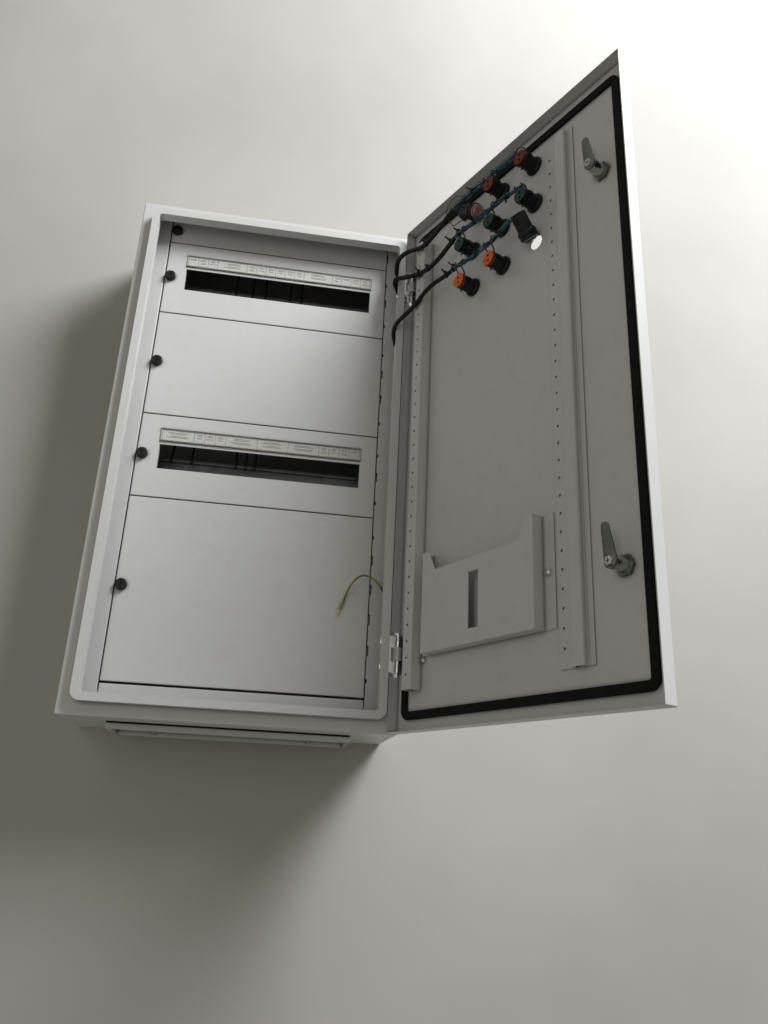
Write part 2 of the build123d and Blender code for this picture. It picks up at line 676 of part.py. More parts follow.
def din_rail(index):
    front = -DIN_RAIL_SETBACK - DIN_RAIL_SHEET / 2
    back = -DIN_RAIL_SETBACK - DIN_RAIL_DEPTH + DIN_RAIL_SHEET / 2
    edge = DIN_RAIL_HEIGHT / 2
    channel = (DIN_RAIL_CHANNEL - DIN_RAIL_SHEET) / 2
    points = [(front, -edge), (front, -channel), (back, -channel), (back, channel), (front, channel),
              (front, edge)]
    section = Pos(0, rail_level(index)) * folded(points, DIN_RAIL_SHEET, DIN_RAIL_SHEET)
    end = UPRIGHT_INSET + UPRIGHT_SHEET + BRACKET_SHEET + SHEET
    return along_width(section, end, WIDTH - end)


def rail_bracket(index, place):
    web = UPRIGHT_INSET + UPRIGHT_SHEET + BRACKET_SHEET / 2
    front = -DIN_RAIL_SETBACK - DIN_RAIL_DEPTH - BRACKET_SHEET / 2
    points = [(place(web), front - BRACKET_LEG), (place(web), front), (place(web + BRACKET_LEG), front)]
    middle = rail_level(index)
    section = folded(points, BRACKET_SHEET, FOLD_RADIUS)
    return along_height(section, middle - BRACKET_HEIGHT / 2, middle + BRACKET_HEIGHT / 2)


def earth_bar():
    half = EARTH_BAR_LENGTH / 2
    back = BACK_INNER + EARTH_BAR_THICKNESS / 2
    front = back + EARTH_BAR_LIFT
    middle = WIDTH / 2
    points = [(middle - half - EARTH_BAR_FOOT, back), (middle - half, back), (middle - half, front),
              (middle + half, front), (middle + half, back), (middle + half + EARTH_BAR_FOOT, back)]
    section = folded(points, EARTH_BAR_THICKNESS, EARTH_BAR_THICKNESS)
    bar = along_height(section, EARTH_BAR_LEVEL, EARTH_BAR_LEVEL + EARTH_BAR_HEIGHT)
    count = int((EARTH_BAR_LENGTH - 2 * EARTH_BAR_HOLE_PITCH) / EARTH_BAR_HOLE_PITCH) + 1
    start = middle - (count - 1) / 2 * EARTH_BAR_HOLE_PITCH
    for i in range(count):
        bar -= rod(start + i * EARTH_BAR_HOLE_PITCH, EARTH_BAR_LEVEL + EARTH_BAR_HEIGHT / 2,
                   front - EARTH_BAR_THICKNESS, front + EARTH_BAR_THICKNESS, EARTH_BAR_HOLE)
    return bar


# Door hinges
def bolt_levels():
    return [level + side for level in HINGE_LEVELS for side in (-SIDE_KNUCKLE_CENTRE, SIDE_KNUCKLE_CENTRE)]


def bolt_out():
    """How far the hinge bolts sit in front of the flange."""
    return (HINGE_BLOCK_LOW + HINGE_BLOCK_HIGH) / 2


def hinge_bracket(level):
    """A cast block on the rim's outer wall: two plates, each with a web out to its knuckle."""
    low, high = HINGE_BLOCK_LOW, HINGE_BLOCK_HIGH
    radius = KNUCKLE_DIAMETER / 2
    plate = RIM_OUTER_X + HINGE_BLOCK_PLATE
    nose = Polygon((RIM_OUTER_X, low), (plate, low), (DOOR_HINGE_X, HINGE_OUT - radius),
                   (DOOR_HINGE_X, HINGE_OUT), (DOOR_HINGE_X - radius, HINGE_OUT),
                   (DOOR_HINGE_X - radius, HINGE_WEB_TOP), (plate, HINGE_WEB_TOP), (plate, high),
                   (RIM_OUTER_X, high), align=None)
    knuckle = nose + Pos(DOOR_HINGE_X, HINGE_OUT) * Circle(radius)
    half = HINGE_BLOCK_LENGTH / 2
    bracket = block(RIM_OUTER_X, RIM_OUTER_X + HINGE_BLOCK_ROOT, level - half, level + half, low, high)
    for side in (-SIDE_KNUCKLE_CENTRE, SIDE_KNUCKLE_CENTRE):
        middle = level + side
        bracket += along_height(knuckle, middle - SIDE_KNUCKLE / 2, middle + SIDE_KNUCKLE / 2)
        bracket -= cross_rod(RIM_OUTER_X - SHEET, RIM_OUTER_X + BOLT_DEPTH + SLIP_FIT, middle, bolt_out(),
                             BOLT_DIAMETER + 2 * SLIP_FIT)
    return bracket - upright_rod(DOOR_HINGE_X, level - half - SHEET, level + half + SHEET, HINGE_OUT,
                                 PIN_DIAMETER + 2 * RUNNING_FIT)


def hinge_pin(level):
    half = HINGE_BLOCK_LENGTH / 2
    pin = upright_rod(DOOR_HINGE_X, level - half, level + half, HINGE_OUT, PIN_DIAMETER)
    return pin + upright_rod(DOOR_HINGE_X, level + half, level + half + PIN_HEAD_HEIGHT, HINGE_OUT, PIN_HEAD)


def hinge_bolt(level):
    """A hexagon-head bolt from the rim's inner wall into the hinge block."""
    z = bolt_out()
    head = along_width(Pos(z, level) * hexagon(BOLT_HEAD_FLATS), RIM_INNER_X - BOLT_HEAD_HEIGHT, RIM_INNER_X)
    return head + cross_rod(RIM_INNER_X, RIM_OUTER_X + BOLT_DEPTH, level, z, BOLT_DIAMETER)


def hinge_knuckle(level):
    """The middle knuckle and its leaf on the door."""
    leaf_back = DOOR_INNER - HINGE_LEAF_THICKNESS
    leaf_end = WIDTH - SHEET - DOOR_EDGE_RADIUS - SLIP_FIT
    radius = DOOR_KNUCKLE_DIAMETER / 2
    section = Pos(DOOR_HINGE_X, HINGE_OUT) * Circle(radius)
    section += Polygon((leaf_end - HINGE_LEAF_LENGTH, leaf_back), (DOOR_HINGE_X - radius, leaf_back),
                       (DOOR_HINGE_X - radius, HINGE_OUT), (DOOR_HINGE_X, HINGE_OUT),
                       (leaf_end, leaf_back), (leaf_end, DOOR_INNER),
                       (leaf_end - HINGE_LEAF_LENGTH, DOOR_INNER), align=None)
    half = DOOR_KNUCKLE / 2
    knuckle = along_height(section, level - half, level + half)
    return swung(knuckle - upright_rod(DOOR_HINGE_X, level - half - SHEET, level + half + SHEET,
                                       HINGE_OUT, PIN_DIAMETER + 2 * RUNNING_FIT))


# Door
def lamp_places():
    """Centres of the lamp holes, row by row from the bottom, each from the lock side."""
    return [(WIDTH - u, row) for row in LAMP_ROWS for u in LAMP_COLUMNS]


def door_panel():
    tray = block(0, WIDTH, 0, HEIGHT, DOOR_LIP, DOOR_FACE)
    tray = fillet(tray.edges().filter_by(Axis.Z), DOOR_EDGE_RADIUS)
    tray = fillet(tray.faces().sort_by(Axis.Z)[-1].edges(), DOOR_EDGE_RADIUS)
    tray -= block(SHEET, WIDTH - SHEET, SHEET, HEIGHT - SHEET, DOOR_LIP - SHEET, DOOR_INNER)
    for x, y in lamp_places():
        tray -= rod(x, y, DOOR_INNER - SHEET, DOOR_FACE + SHEET, LAMP_BARREL + 4 * SLIP_FIT)
    for level in LOCK_LEVELS.values():
        tray -= rod(LOCK_INSET, level, DOOR_INNER - SHEET, DOOR_FACE + SHEET, LOCK_BARREL + 4 * SLIP_FIT)
    for level in HINGE_LEVELS:
        half = HINGE_NOTCH_LENGTH / 2
        tray -= block(WIDTH - 2 * SHEET, WIDTH + SHEET, level - half, level + half, DOOR_LIP - SHEET,
                      DOOR_LIP + HINGE_NOTCH_DEPTH)
    return swung(tray)


def door_gasket():
    width = WIDTH - 2 * GASKET_SIDE_INSET
    height = HEIGHT - 2 * GASKET_END_INSET
    inner_corner = GASKET_CORNER - GASKET_WIDTH
    section = RectangleRounded(width, height, GASKET_CORNER)
    section -= RectangleRounded(width - 2 * GASKET_WIDTH, height - 2 * GASKET_WIDTH, inner_corner)
    back = RIM_HEIGHT + GASKET_RIM_GAP
    return swung(Pos(WIDTH / 2, HEIGHT / 2, back) * extrude(section, amount=DOOR_INNER - back))


def rail_holes(x, z_from, z_to, top):
    """A row of holes up a stiffener."""
    count = int((top - RAIL_FIRST_HOLE) / RAIL_HOLE_PITCH) + 1
    return [rod(x, RAIL_FIRST_HOLE + i * RAIL_HOLE_PITCH, z_from, z_to, RAIL_HOLE) for i in range(count)]


def hinge_side_rail():
    left = WIDTH - HINGE_RAIL_FROM - HINGE_RAIL_WIDTH + SHEET / 2
    right = WIDTH - HINGE_RAIL_FROM - SHEET / 2
    face = DOOR_INNER - HINGE_RAIL_HEIGHT + SHEET / 2
    section = folded([(left, DOOR_INNER), (left, face), (right, face), (right, DOOR_INNER)],
                     SHEET, FOLD_RADIUS)
    rail = along_height(section, HINGE_RAIL_BOTTOM, HINGE_RAIL_TOP)
    rail -= rail_holes((left + right) / 2, face - SHEET, face + SHEET, HINGE_RAIL_TOP - RAIL_HOLE_PITCH)
    return swung(rail)


def lock_side_rail():
    flat = DOOR_INNER - SHEET / 2
    face = DOOR_INNER - LOCK_RAIL_HEIGHT + SHEET / 2
    near = WIDTH - LOCK_RAIL_FROM
    step = near - LOCK_RAIL_FLANGE
    drop = step - LOCK_RAIL_FACE
    points = [(near, flat), (step, flat), (step, face), (drop, face), (drop, flat),
              (drop - LOCK_RAIL_FOOT, flat)]
    rail = along_height(folded(points, SHEET, FOLD_RADIUS), LOCK_RAIL_BOTTOM, LOCK_RAIL_TOP)
    rail -= rail_holes(near - LOCK_RAIL_HOLE_INSET, flat - SHEET, flat + SHEET,
                       LOCK_RAIL_TOP - RAIL_HOLE_PITCH)
    return swung(rail)


def document_pocket():
    right = WIDTH - POCKET_FROM
    left = right - POCKET_WIDTH
    face = DOOR_INNER - POCKET_DEPTH
    pocket = block(left, right, POCKET_BOTTOM, POCKET_TOP, face, DOOR_INNER)
    pocket -= block(left + POCKET_SHEET, right - POCKET_SHEET, POCKET_BOTTOM + POCKET_SHEET,
                    POCKET_TOP + POCKET_SHEET, face + POCKET_SHEET, DOOR_INNER + POCKET_SHEET)
    pocket += block(left - POCKET_FLANGE, left, POCKET_BOTTOM, POCKET_TOP,
                    DOOR_INNER - POCKET_SHEET, DOOR_INNER)
    pocket += block(right, right + POCKET_FLANGE, POCKET_BOTTOM, POCKET_TOP,
                    DOOR_INNER - POCKET_SHEET, DOOR_INNER)
    notch_left = left + POCKET_NOTCH_MARGIN
    notch_right = right - POCKET_NOTCH_MARGIN
    floor = POCKET_TOP - POCKET_NOTCH_DEPTH
    notch = Polygon((notch_left, POCKET_TOP + SHEET), (notch_left + POCKET_NOTCH_SLOPE, floor),
                    (notch_right - POCKET_NOTCH_SLOPE, floor), (notch_right, POCKET_TOP + SHEET), align=None)
    slot_height = POCKET_SLOT_TOP - POCKET_SLOT_BOTTOM
    slot = Pos((left + right) / 2, POCKET_SLOT_BOTTOM + slot_height / 2) * Rectangle(
        POCKET_SLOT_WIDTH, slot_height
    )
    pocket -= Pos(0, 0, face - POCKET_SHEET) * extrude(notch + slot, amount=3 * POCKET_SHEET)
    u, y = POCKET_NUT
    return swung(pocket - rod(WIDTH - u, y, face, DOOR_INNER + SHEET, DOOR_NUT_FLATS / 2 + 2 * SLIP_FIT))


def door_nut(u, y, seat):
    """A stud welded to the door with a nut that sits at a given level."""
    top = seat - DOOR_NUT_HEIGHT
    nut = Pos(WIDTH - u, y, top) * extrude(hexagon(DOOR_NUT_FLATS), amount=DOOR_NUT_HEIGHT)
    return swung(nut + rod(WIDTH - u, y, top - SHEET, DOOR_INNER, DOOR_NUT_FLATS / 2))


# Locks
def lock_housing(level):
    barrel = rod(LOCK_INSET, level, LOCK_BARREL_END, DOOR_FACE, LOCK_BARREL)
    head = rod(LOCK_INSET, level, DOOR_FACE, DOOR_FACE + LOCK_HEAD_HEIGHT, LOCK_HEAD)
    head = fillet(head.faces().sort_by(Axis.Z)[-1].edges(), COVER_EDGE_RADIUS)
    bore = rod(LOCK_INSET, level, LOCK_BARREL_END - SHEET, DOOR_FACE + 2 * LOCK_HEAD_HEIGHT,
               SPINDLE_DIAMETER + 2 * RUNNING_FIT)
    return swung(barrel + head - bore)


def lock_nut(level):
    outline = hexagon(LOCK_NUT_FLATS) - Circle(LOCK_BARREL / 2 + SLIP_FIT)
    place = Pos(LOCK_INSET, level, DOOR_INNER - LOCK_NUT_HEIGHT)
    return swung(place * extrude(outline, amount=LOCK_NUT_HEIGHT))


def cam_turned(level, shape):
    """Tilt a piece of the lock by the angle at which its cam was left, then swing it."""
    return swung(shape.rotate(Axis((LOCK_INSET, level, 0), (0, 0, 1)), CAM_REST_TILT))


def lock_spindle(level):
    front = DOOR_FACE + LOCK_HEAD_HEIGHT - SPINDLE_SUNK
    cam_front = LOCK_BARREL_END - CAM_GAP
    spindle = rod(LOCK_INSET, level, cam_front, front, SPINDLE_DIAMETER)
    well = Circle(KEY_WELL / 2) + Rectangle(KEY_WING, SPINDLE_DIAMETER - 2 * SHEET)
    well -= Circle(KEY_PIN / 2)
    spindle -= Pos(LOCK_INSET, level, front - KEY_DEPTH) * extrude(well, amount=2 * KEY_DEPTH)
    square = Pos(LOCK_INSET, level, cam_front - CAM_SHEET) * extrude(
        Rectangle(SPINDLE_SQUARE, SPINDLE_SQUARE), amount=CAM_SHEET
    )
    screw_hole = rod(LOCK_INSET, level, cam_front - CAM_SHEET - SHEET,
                     cam_front - CAM_SHEET + CAM_SCREW_DEPTH + SHEET, CAM_SCREW + 2 * SLIP_FIT)
    return cam_turned(level, spindle + square - screw_hole)


def lock_cam(level):
    reach = CAM_LENGTH - CAM_TIP_RADIUS
    hub = Circle(CAM_HUB_RADIUS)
    tip = Pos(0, reach) * Circle(CAM_TIP_RADIUS)
    leaf = make_hull([*hub.edges(), *tip.edges()])
    leaf -= Rectangle(SPINDLE_SQUARE + 2 * SLIP_FIT, SPINDLE_SQUARE + 2 * SLIP_FIT)
    back = LOCK_BARREL_END - CAM_GAP - CAM_SHEET
    return cam_turned(level, Pos(LOCK_INSET, level, back) * extrude(leaf, amount=CAM_SHEET))


def cam_screw(level):
    back = LOCK_BARREL_END - CAM_GAP - CAM_SHEET
    head = Pos(LOCK_INSET, level, back - CAM_SCREW_HEAD_HEIGHT) * extrude(
        hexagon(CAM_SCREW_HEAD), amount=CAM_SCREW_HEAD_HEIGHT
    )
    return cam_turned(level, head + rod(LOCK_INSET, level, back, back + CAM_SCREW_DEPTH, CAM_SCREW))


# Signal lamps, drawn about their own axis with the door's inner face at zero
def lamp_body():
    """Bezel, threaded barrel and back housing in one turned form."""
    barrel = LAMP_BARREL / 2
    bezel = LAMP_BEZEL / 2
    back = LAMP_BACK / 2
    points = [(0, SHEET), (0, SHEET + LAMP_BEZEL_HEIGHT), (bezel - SHEET, SHEET + LAMP_BEZEL_HEIGHT),
              (bezel, SHEET + LAMP_BEZEL_HEIGHT - SHEET), (bezel, SHEET), (barrel, SHEET),
              (barrel, -LAMP_SHOULDER), (back, -LAMP_SHOULDER), (back, -LAMP_BACK_REACH),
              (0, -LAMP_BACK_REACH)]
    return revolve(Plane.XZ * Polygon(*points, align=None), Axis.Z)


def lamp_lugs():
    """The two wire clamps at the sides of the lamp's back."""
    lugs = []
    for side in (-1, 1):
        centre = side * (LAMP_BACK / 2 + LUG_PROUD / 2 - SLIP_FIT)
        middle = -LAMP_BACK_REACH + LUG_DEPTH / 2
        lugs.append(Pos(centre, 0, middle) * Box(LUG_PROUD, LUG_WIDTH, LUG_DEPTH))
    return lugs


def lamp_nut():
    inner = LAMP_BARREL / 2 + SLIP_FIT
    points = [(inner, 0), (LAMP_NUT / 2, 0), (LAMP_NUT / 2, -LAMP_NUT_HEIGHT / 2),
              (LAMP_NUT_FRONT / 2, -LAMP_NUT_HEIGHT), (inner, -LAMP_NUT_HEIGHT)]
    return revolve(Plane.XZ * Polygon(*points, align=None), Axis.Z)


def lamp_lens():
    base = SHEET + LAMP_BEZEL_HEIGHT
    lens = Pos(0, 0, base) * Cylinder(LAMP_LENS / 2, LAMP_LENS_HEIGHT,
                                      align=(Align.CENTER, Align.CENTER, Align.MIN))
    return chamfer(lens.faces().sort_by(Axis.Z)[-1].edges(), LAMP_LENS_HEIGHT / 2)


def terminal_cap():
    base = -LAMP_BACK_REACH - TERMINAL_HEIGHT
    cap = Pos(0, 0, base) * Cylinder(LAMP_BACK / 2, TERMINAL_HEIGHT,
                                     align=(Align.CENTER, Align.CENTER, Align.MIN))
    for side in (-1, 1):
        centre = side * TERMINAL_SCREW_APART / 2
        cap -= Pos(0, centre, base - SHEET) * Cylinder(
            TERMINAL_SCREW / 2, TERMINAL_SCREW_DEPTH + SHEET, align=(Align.CENTER, Align.CENTER, Align.MIN)
        )
    return cap


def lamp_location(u, row):
    """Place of a lamp on the shut door."""
    return Pos(WIDTH - u, row, DOOR_INNER)


def loose_location(tip, direction):
    """Place of a lamp whose lens centre lies at a point of the shut door and looks a given way."""
    turned = Plane(origin=(WIDTH - tip[0], tip[1], tip[2]), z_dir=(-direction[0], direction[1], direction[2]))
    return turned.location * Pos(0, 0, -SHEET - LAMP_BEZEL_HEIGHT)


LOWER, LOWER_MIDDLE, MIDDLE, UPPER_MIDDLE, TOP = range(len(COVER_ROWS))
SLOTTED_COVERS = (LOWER_MIDDLE, UPPER_MIDDLE)

# Lamps by the colour of their terminals: place on the door, or lens centre and direction
RED_LAMPS = [lamp_location(LAMP_COLUMNS[2], LAMP_ROWS[2]), lamp_location(LAMP_COLUMNS[1], LAMP_ROWS[2])]
GREEN_LAMPS = [lamp_location(u, LAMP_ROWS[1]) for u in LAMP_COLUMNS]
ORANGE_LAMPS = [lamp_location(LAMP_COLUMNS[1], LAMP_ROWS[0]), lamp_location(LAMP_COLUMNS[0], LAMP_ROWS[0])]
LOOSE_RED = loose_location((LAMP_COLUMNS[0] + 25.0, LAMP_ROWS[2] - 15.0, 6.0), (0.84, -0.54, 0.0))
LOOSE_ORANGE = loose_location((LAMP_COLUMNS[2] - 3.0, LAMP_ROWS[0] + 4.0, 11.5), (-0.03, -0.75, 0.66))

# Cable routes, each point from the hinge edge, down from the top, and out
LOOM_UPPER_ROUTE = [
    inside_point(20, 133, -60), inside_point(20, 116, -43), inside_point(21.5, 101.5, -25),
    inside_point(30, 90.5, -5), inside_point(37.5, 78, 13), inside_point(34, 67, 27),
    inside_point(22, 59, 37), door_point(44, 65, -4.5), door_point(60, 71, -5), door_point(81, 70, -5),
    door_point(107, 62, -4.5), door_point(129, 53, -5), door_point(147, 48, -6)
]
LOOM_MIDDLE_ROUTE = [
    inside_point(20, 147, -60), inside_point(20, 130.5, -44), inside_point(21, 119, -27),
    inside_point(29, 112, -9), inside_point(38.5, 109, 8), inside_point(38, 111.5, 25),
    inside_point(25, 115.5, 37), door_point(44, 121, -4.5), door_point(66, 127.5, -5),
    door_point(92, 129, -5), door_point(116, 124, -5), door_point(136, 115, -4.7),
    door_point(150, 108, -4)
]
LOOM_LOWER_ROUTE = [
    inside_point(20, 276, -60), inside_point(20, 259, -44), inside_point(21, 244, -28),
    inside_point(28, 230, -9), inside_point(37, 217, 9), inside_point(35, 206, 25),
    inside_point(23, 196, 37), door_point(43, 184, -4), door_point(58, 178, -5),
    door_point(77, 171, -5), door_point(99, 169, -5), door_point(119, 170, -3.5),
    door_point(136, 167, -1)
]
LAMP_WIRE_ROUTES = [
    [(149, 47.5, -6.2), (165, 49, -7.5), (190, 47, -8), (216, 49, -8), (244, 46.5, -8), (272, 49, -8),
     (290, 47, -8), (305, 48, -7)],
    [(153, 107, -4.2), (165, 108, -6.5), (190, 113, -8), (217, 111, -8), (245, 113, -8),
     (273, 112, -8), (300, 117.5, -8.5), (319, 120, -8)],
    [(140, 166.6, -1.4), (154, 171, -6), (173, 176, -8), (196, 178.5, -8), (222, 177, -8),
     (247, 178, -8), (271, 174, -8.5), (291, 166, -9)]
]

# The earth wire runs near the bottom, so its points are given up from there
EARTH_WIRE_POINTS = [
    (19, 172, -58), (19.5, 187, -44), (21, 202, -30), (26, 219, -18), (36, 235, -11), (49, 244, -8.5),
    (62, 248.5, -9), (72.5, 245, -12), (81, 234.5, -16.5), (88, 219, -21.5), (93.2, 201.7, -26),
    (99.8, 183.3, -27.9)
]
EARTH_WIRE_ROUTE = [(WIDTH - inset, up, out) for inset, up, out in EARTH_WIRE_POINTS]

# Lengths of the short wires from the bundles down to the lamps, by row and column; 0 is no wire
LAMP_DROPS = ((30.1, 28.5, 0.0), (22.0, 17.0, 11.5), (0.0, 9.0, 8.5))

# Inner wires: x where they pass the upper slot and x where they end in the lower one
INNER_WIRES = ((176, 102), (206, 135), (230, 210), (277, 227), (297, 243))
STUB_WIRES = (152, 179)
# Heights above the upper mounting rail, then above the lower one
INNER_WIRE_TOP = 73.5
INNER_WIRE_BENDS_UPPER = (-36.5, -166.5)
INNER_WIRE_BEND_LOWER = 63.5
INNER_WIRE_END = 9.5
STUB_WIRE_ENDS = (-66.5, -12.5)


def route_radii(points):
    """The largest even arc that each corner of a route has room for."""
    radii = []
    for before, corner, after in zip(points, points[1:], points[2:]):
        arriving = Vector(*corner) - Vector(*before)
        leaving = Vector(*after) - Vector(*corner)
        turn = math.radians(arriving.get_angle(leaving))
        shorter = min(arriving.length, leaving.length)
        radii.append(ROUTE_ARC_SHARE * shorter / math.tan(turn / 2))
    return radii


def tube(name, points, diameter):
    """A round cable along straight runs joined by tangent arcs."""
    radii = route_radii(points)
    path = FilletPolyline(*points, radius=radii)
    start = Plane(origin=path @ 0, z_dir=path % 0)
    solid = sweep(start * Circle(diameter / 2), path=path)
    print(name, "length", round(path.length, 1), "tightest radius", round(min(radii), 1))
    return solid


def inner_wire(upper_x, lower_x):
    z = -DIN_RAIL_SETBACK + INNER_WIRE_DIAMETER / 2
    upper, lower = rail_level(UPPER_MIDDLE), rail_level(LOWER_MIDDLE)
    first, second = [upper + bend for bend in INNER_WIRE_BENDS_UPPER]
    points = [(upper_x, upper + INNER_WIRE_TOP, z), (upper_x, first, z),
              ((upper_x + lower_x) / 2, second, z), (lower_x, lower + INNER_WIRE_BEND_LOWER, z),
              (lower_x, lower + INNER_WIRE_END, z)]
    if abs(upper_x - lower_x) < INNER_WIRE_DIAMETER:
        points = [points[0], points[-1]]
    return tube("inner wire", points, INNER_WIRE_DIAMETER)


def stub_wire(x):
    z = -DIN_RAIL_SETBACK + INNER_WIRE_DIAMETER / 2
    bottom, top = [rail_level(LOWER_MIDDLE) + end for end in STUB_WIRE_ENDS]
    return upright_rod(x, bottom, top, z, INNER_WIRE_DIAMETER)


def lamp_wires():
    """Three bundles along the lamp rows, and the short wires down to the lamps."""
    bundles = []
    for row, route in enumerate(LAMP_WIRE_ROUTES):
        points = [door_point(*place) for place in route]
        bundles.append(tube(f"lamp wires {row}", points, LAMP_WIRES_DIAMETER))
    beside = LAMP_BACK / 2 + LUG_PROUD / 2
    level = DOOR_INNER - LAMP_BACK_REACH + LUG_DEPTH / 2
    for row, lengths in zip(LAMP_ROWS, LAMP_DROPS):
        clamp = row + LUG_WIDTH / 2
        for column, length in zip(LAMP_COLUMNS, lengths):
            if length:
                x = WIDTH - column + beside
                bundles.append(swung(upright_rod(x, clamp, clamp + length, level, DROP_WIRE_DIAMETER)))
    return bundles


def tie(points, run, diameter):
    """A flat strap round the middle of one run of a cable."""
    start, end = Vector(*points[run]), Vector(*points[run + 1])
    middle = (start + end) / 2
    place = Plane(origin=middle, z_dir=(end - start))
    inner = diameter / 2 + SLIP_FIT
    ring = Circle(inner + TIE_THICKNESS) - Circle(inner)
    return extrude(place * ring, amount=TIE_WIDTH / 2, both=True)


# Write every node
save("enclosure_body", enclosure_body())
save("gland_plate", gland_plate())
save("gland_gasket", gland_gasket())
save("gland_screws", *[gland_screw(x, z) for x, z in gland_screw_places()])
save("left_strip", left_strip())
save("right_strip", right_strip())
save("bottom_strip", bottom_strip())
save("left_upright", upright(lambda x: x))
save("right_upright", upright(mirrored) - cable_slots(STRIP_BACK - 2 * UPRIGHT_SHEET, COVER_FACE))
save("upper_din_rail", din_rail(UPPER_MIDDLE))
save("lower_din_rail", din_rail(LOWER_MIDDLE))
save("rail_brackets", *[rail_bracket(index, place) for index in SLOTTED_COVERS
                        for place in (lambda x: x, mirrored)])
save("earth_bar", earth_bar())
save("hinge_brackets", *[hinge_bracket(level) for level in HINGE_LEVELS])
save("hinge_pins", *[hinge_pin(level) for level in HINGE_LEVELS])
save("hinge_bolts", *[hinge_bolt(level) for level in bolt_levels()])

for number, index in enumerate((TOP, UPPER_MIDDLE, MIDDLE, LOWER_MIDDLE, LOWER)):
    save(f"cover_{number}", cover(index))
    save(f"knob_{number}", knob(index))
save("label_holder_upper", label_holder(UPPER_MIDDLE))
save("label_holder_lower", label_holder(LOWER_MIDDLE))
save("label_strip_upper", label_strip(UPPER_MIDDLE))
save("label_strip_lower", label_strip(LOWER_MIDDLE))

save("door_panel", door_panel())
save("door_gasket", door_gasket())
save("hinge_knuckles", *[hinge_knuckle(level) for level in HINGE_LEVELS])
save("hinge_side_rail", hinge_side_rail())
save("lock_side_rail", lock_side_rail())
save("document_pocket", document_pocket())
save("pocket_nuts", door_nut(*POCKET_NUT, DOOR_INNER - POCKET_SHEET), door_nut(*EARTH_NUT, DOOR_INNER))
save("lock_housings", *[lock_housing(level) for level in LOCK_LEVELS.values()])
save("lock_nuts", *[lock_nut(level) for level in LOCK_LEVELS.values()])
for side, level in LOCK_LEVELS.items():
    save(f"lock_spindle_{side}", lock_spindle(level))
    save(f"cam_{side}", lock_cam(level))
    save(f"cam_screw_{side}", cam_screw(level))

MOUNTED = [*RED_LAMPS, *GREEN_LAMPS, *ORANGE_LAMPS]
save("pilot_bodies", *[swung(place * (lamp_body() + lamp_lugs())) for place in MOUNTED])
save("pilot_nuts", *[swung(place * lamp_nut()) for place in [*MOUNTED, LOOSE_RED, LOOSE_ORANGE]])
save("pilot_lenses", *[swung(place * lamp_lens()) for place in [*MOUNTED, LOOSE_RED, LOOSE_ORANGE]])
save("loose_pilot_upper", swung(LOOSE_RED * (lamp_body() + lamp_lugs())))
save("loose_pilot_lower", swung(LOOSE_ORANGE * (lamp_body() + lamp_lugs())))
save("terminals_red", *[swung(place * terminal_cap()) for place in [*RED_LAMPS, LOOSE_RED]])
save("terminals_green", *[swung(place * terminal_cap()) for place in GREEN_LAMPS])
save("terminals_orange", *[swung(place * terminal_cap()) for place in [*ORANGE_LAMPS, LOOSE_ORANGE]])
save("pilot_wiring", *lamp_wires())

save("loom_upper", tube("upper loom", LOOM_UPPER_ROUTE, LOOM_DIAMETER))
save("loom_middle", tube("middle loom", LOOM_MIDDLE_ROUTE, LOOM_DIAMETER))
save("loom_lower", tube("lower loom", LOOM_LOWER_ROUTE, LOOM_LOWER_DIAMETER))
save("earth_wire", tube("earth wire", EARTH_WIRE_ROUTE, EARTH_WIRE_DIAMETER))
save("inner_wires", *[inner_wire(upper, lower) for upper, lower in INNER_WIRES],
     *[stub_wire(x) for x in STUB_WIRES])
save("cable_ties", tie(LOOM_UPPER_ROUTE, 8, LOOM_DIAMETER), tie(LOOM_MIDDLE_ROUTE, 8, LOOM_DIAMETER),
     tie(LOOM_MIDDLE_ROUTE, 11, LOOM_DIAMETER), tie(LOOM_LOWER_ROUTE, 11, LOOM_LOWER_DIAMETER))
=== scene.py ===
import json
import math
import random

import bmesh
import bpy
from mathutils import Matrix, Quaternion, Vector


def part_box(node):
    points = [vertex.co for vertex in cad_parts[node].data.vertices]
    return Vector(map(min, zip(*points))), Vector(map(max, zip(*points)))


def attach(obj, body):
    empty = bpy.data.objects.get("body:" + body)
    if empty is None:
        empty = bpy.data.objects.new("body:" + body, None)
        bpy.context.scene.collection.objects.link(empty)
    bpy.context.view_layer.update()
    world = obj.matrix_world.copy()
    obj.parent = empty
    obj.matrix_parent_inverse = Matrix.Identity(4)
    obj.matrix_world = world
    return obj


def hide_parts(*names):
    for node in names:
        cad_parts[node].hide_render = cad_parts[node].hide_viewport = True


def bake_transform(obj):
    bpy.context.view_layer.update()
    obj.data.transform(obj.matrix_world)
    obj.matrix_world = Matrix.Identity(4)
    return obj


# The dressed model of an open distribution panel. The frame's pieces get their finishes here,
# and cables, wires, ties, label cells and the smallest parts of lamps and locks are built here.

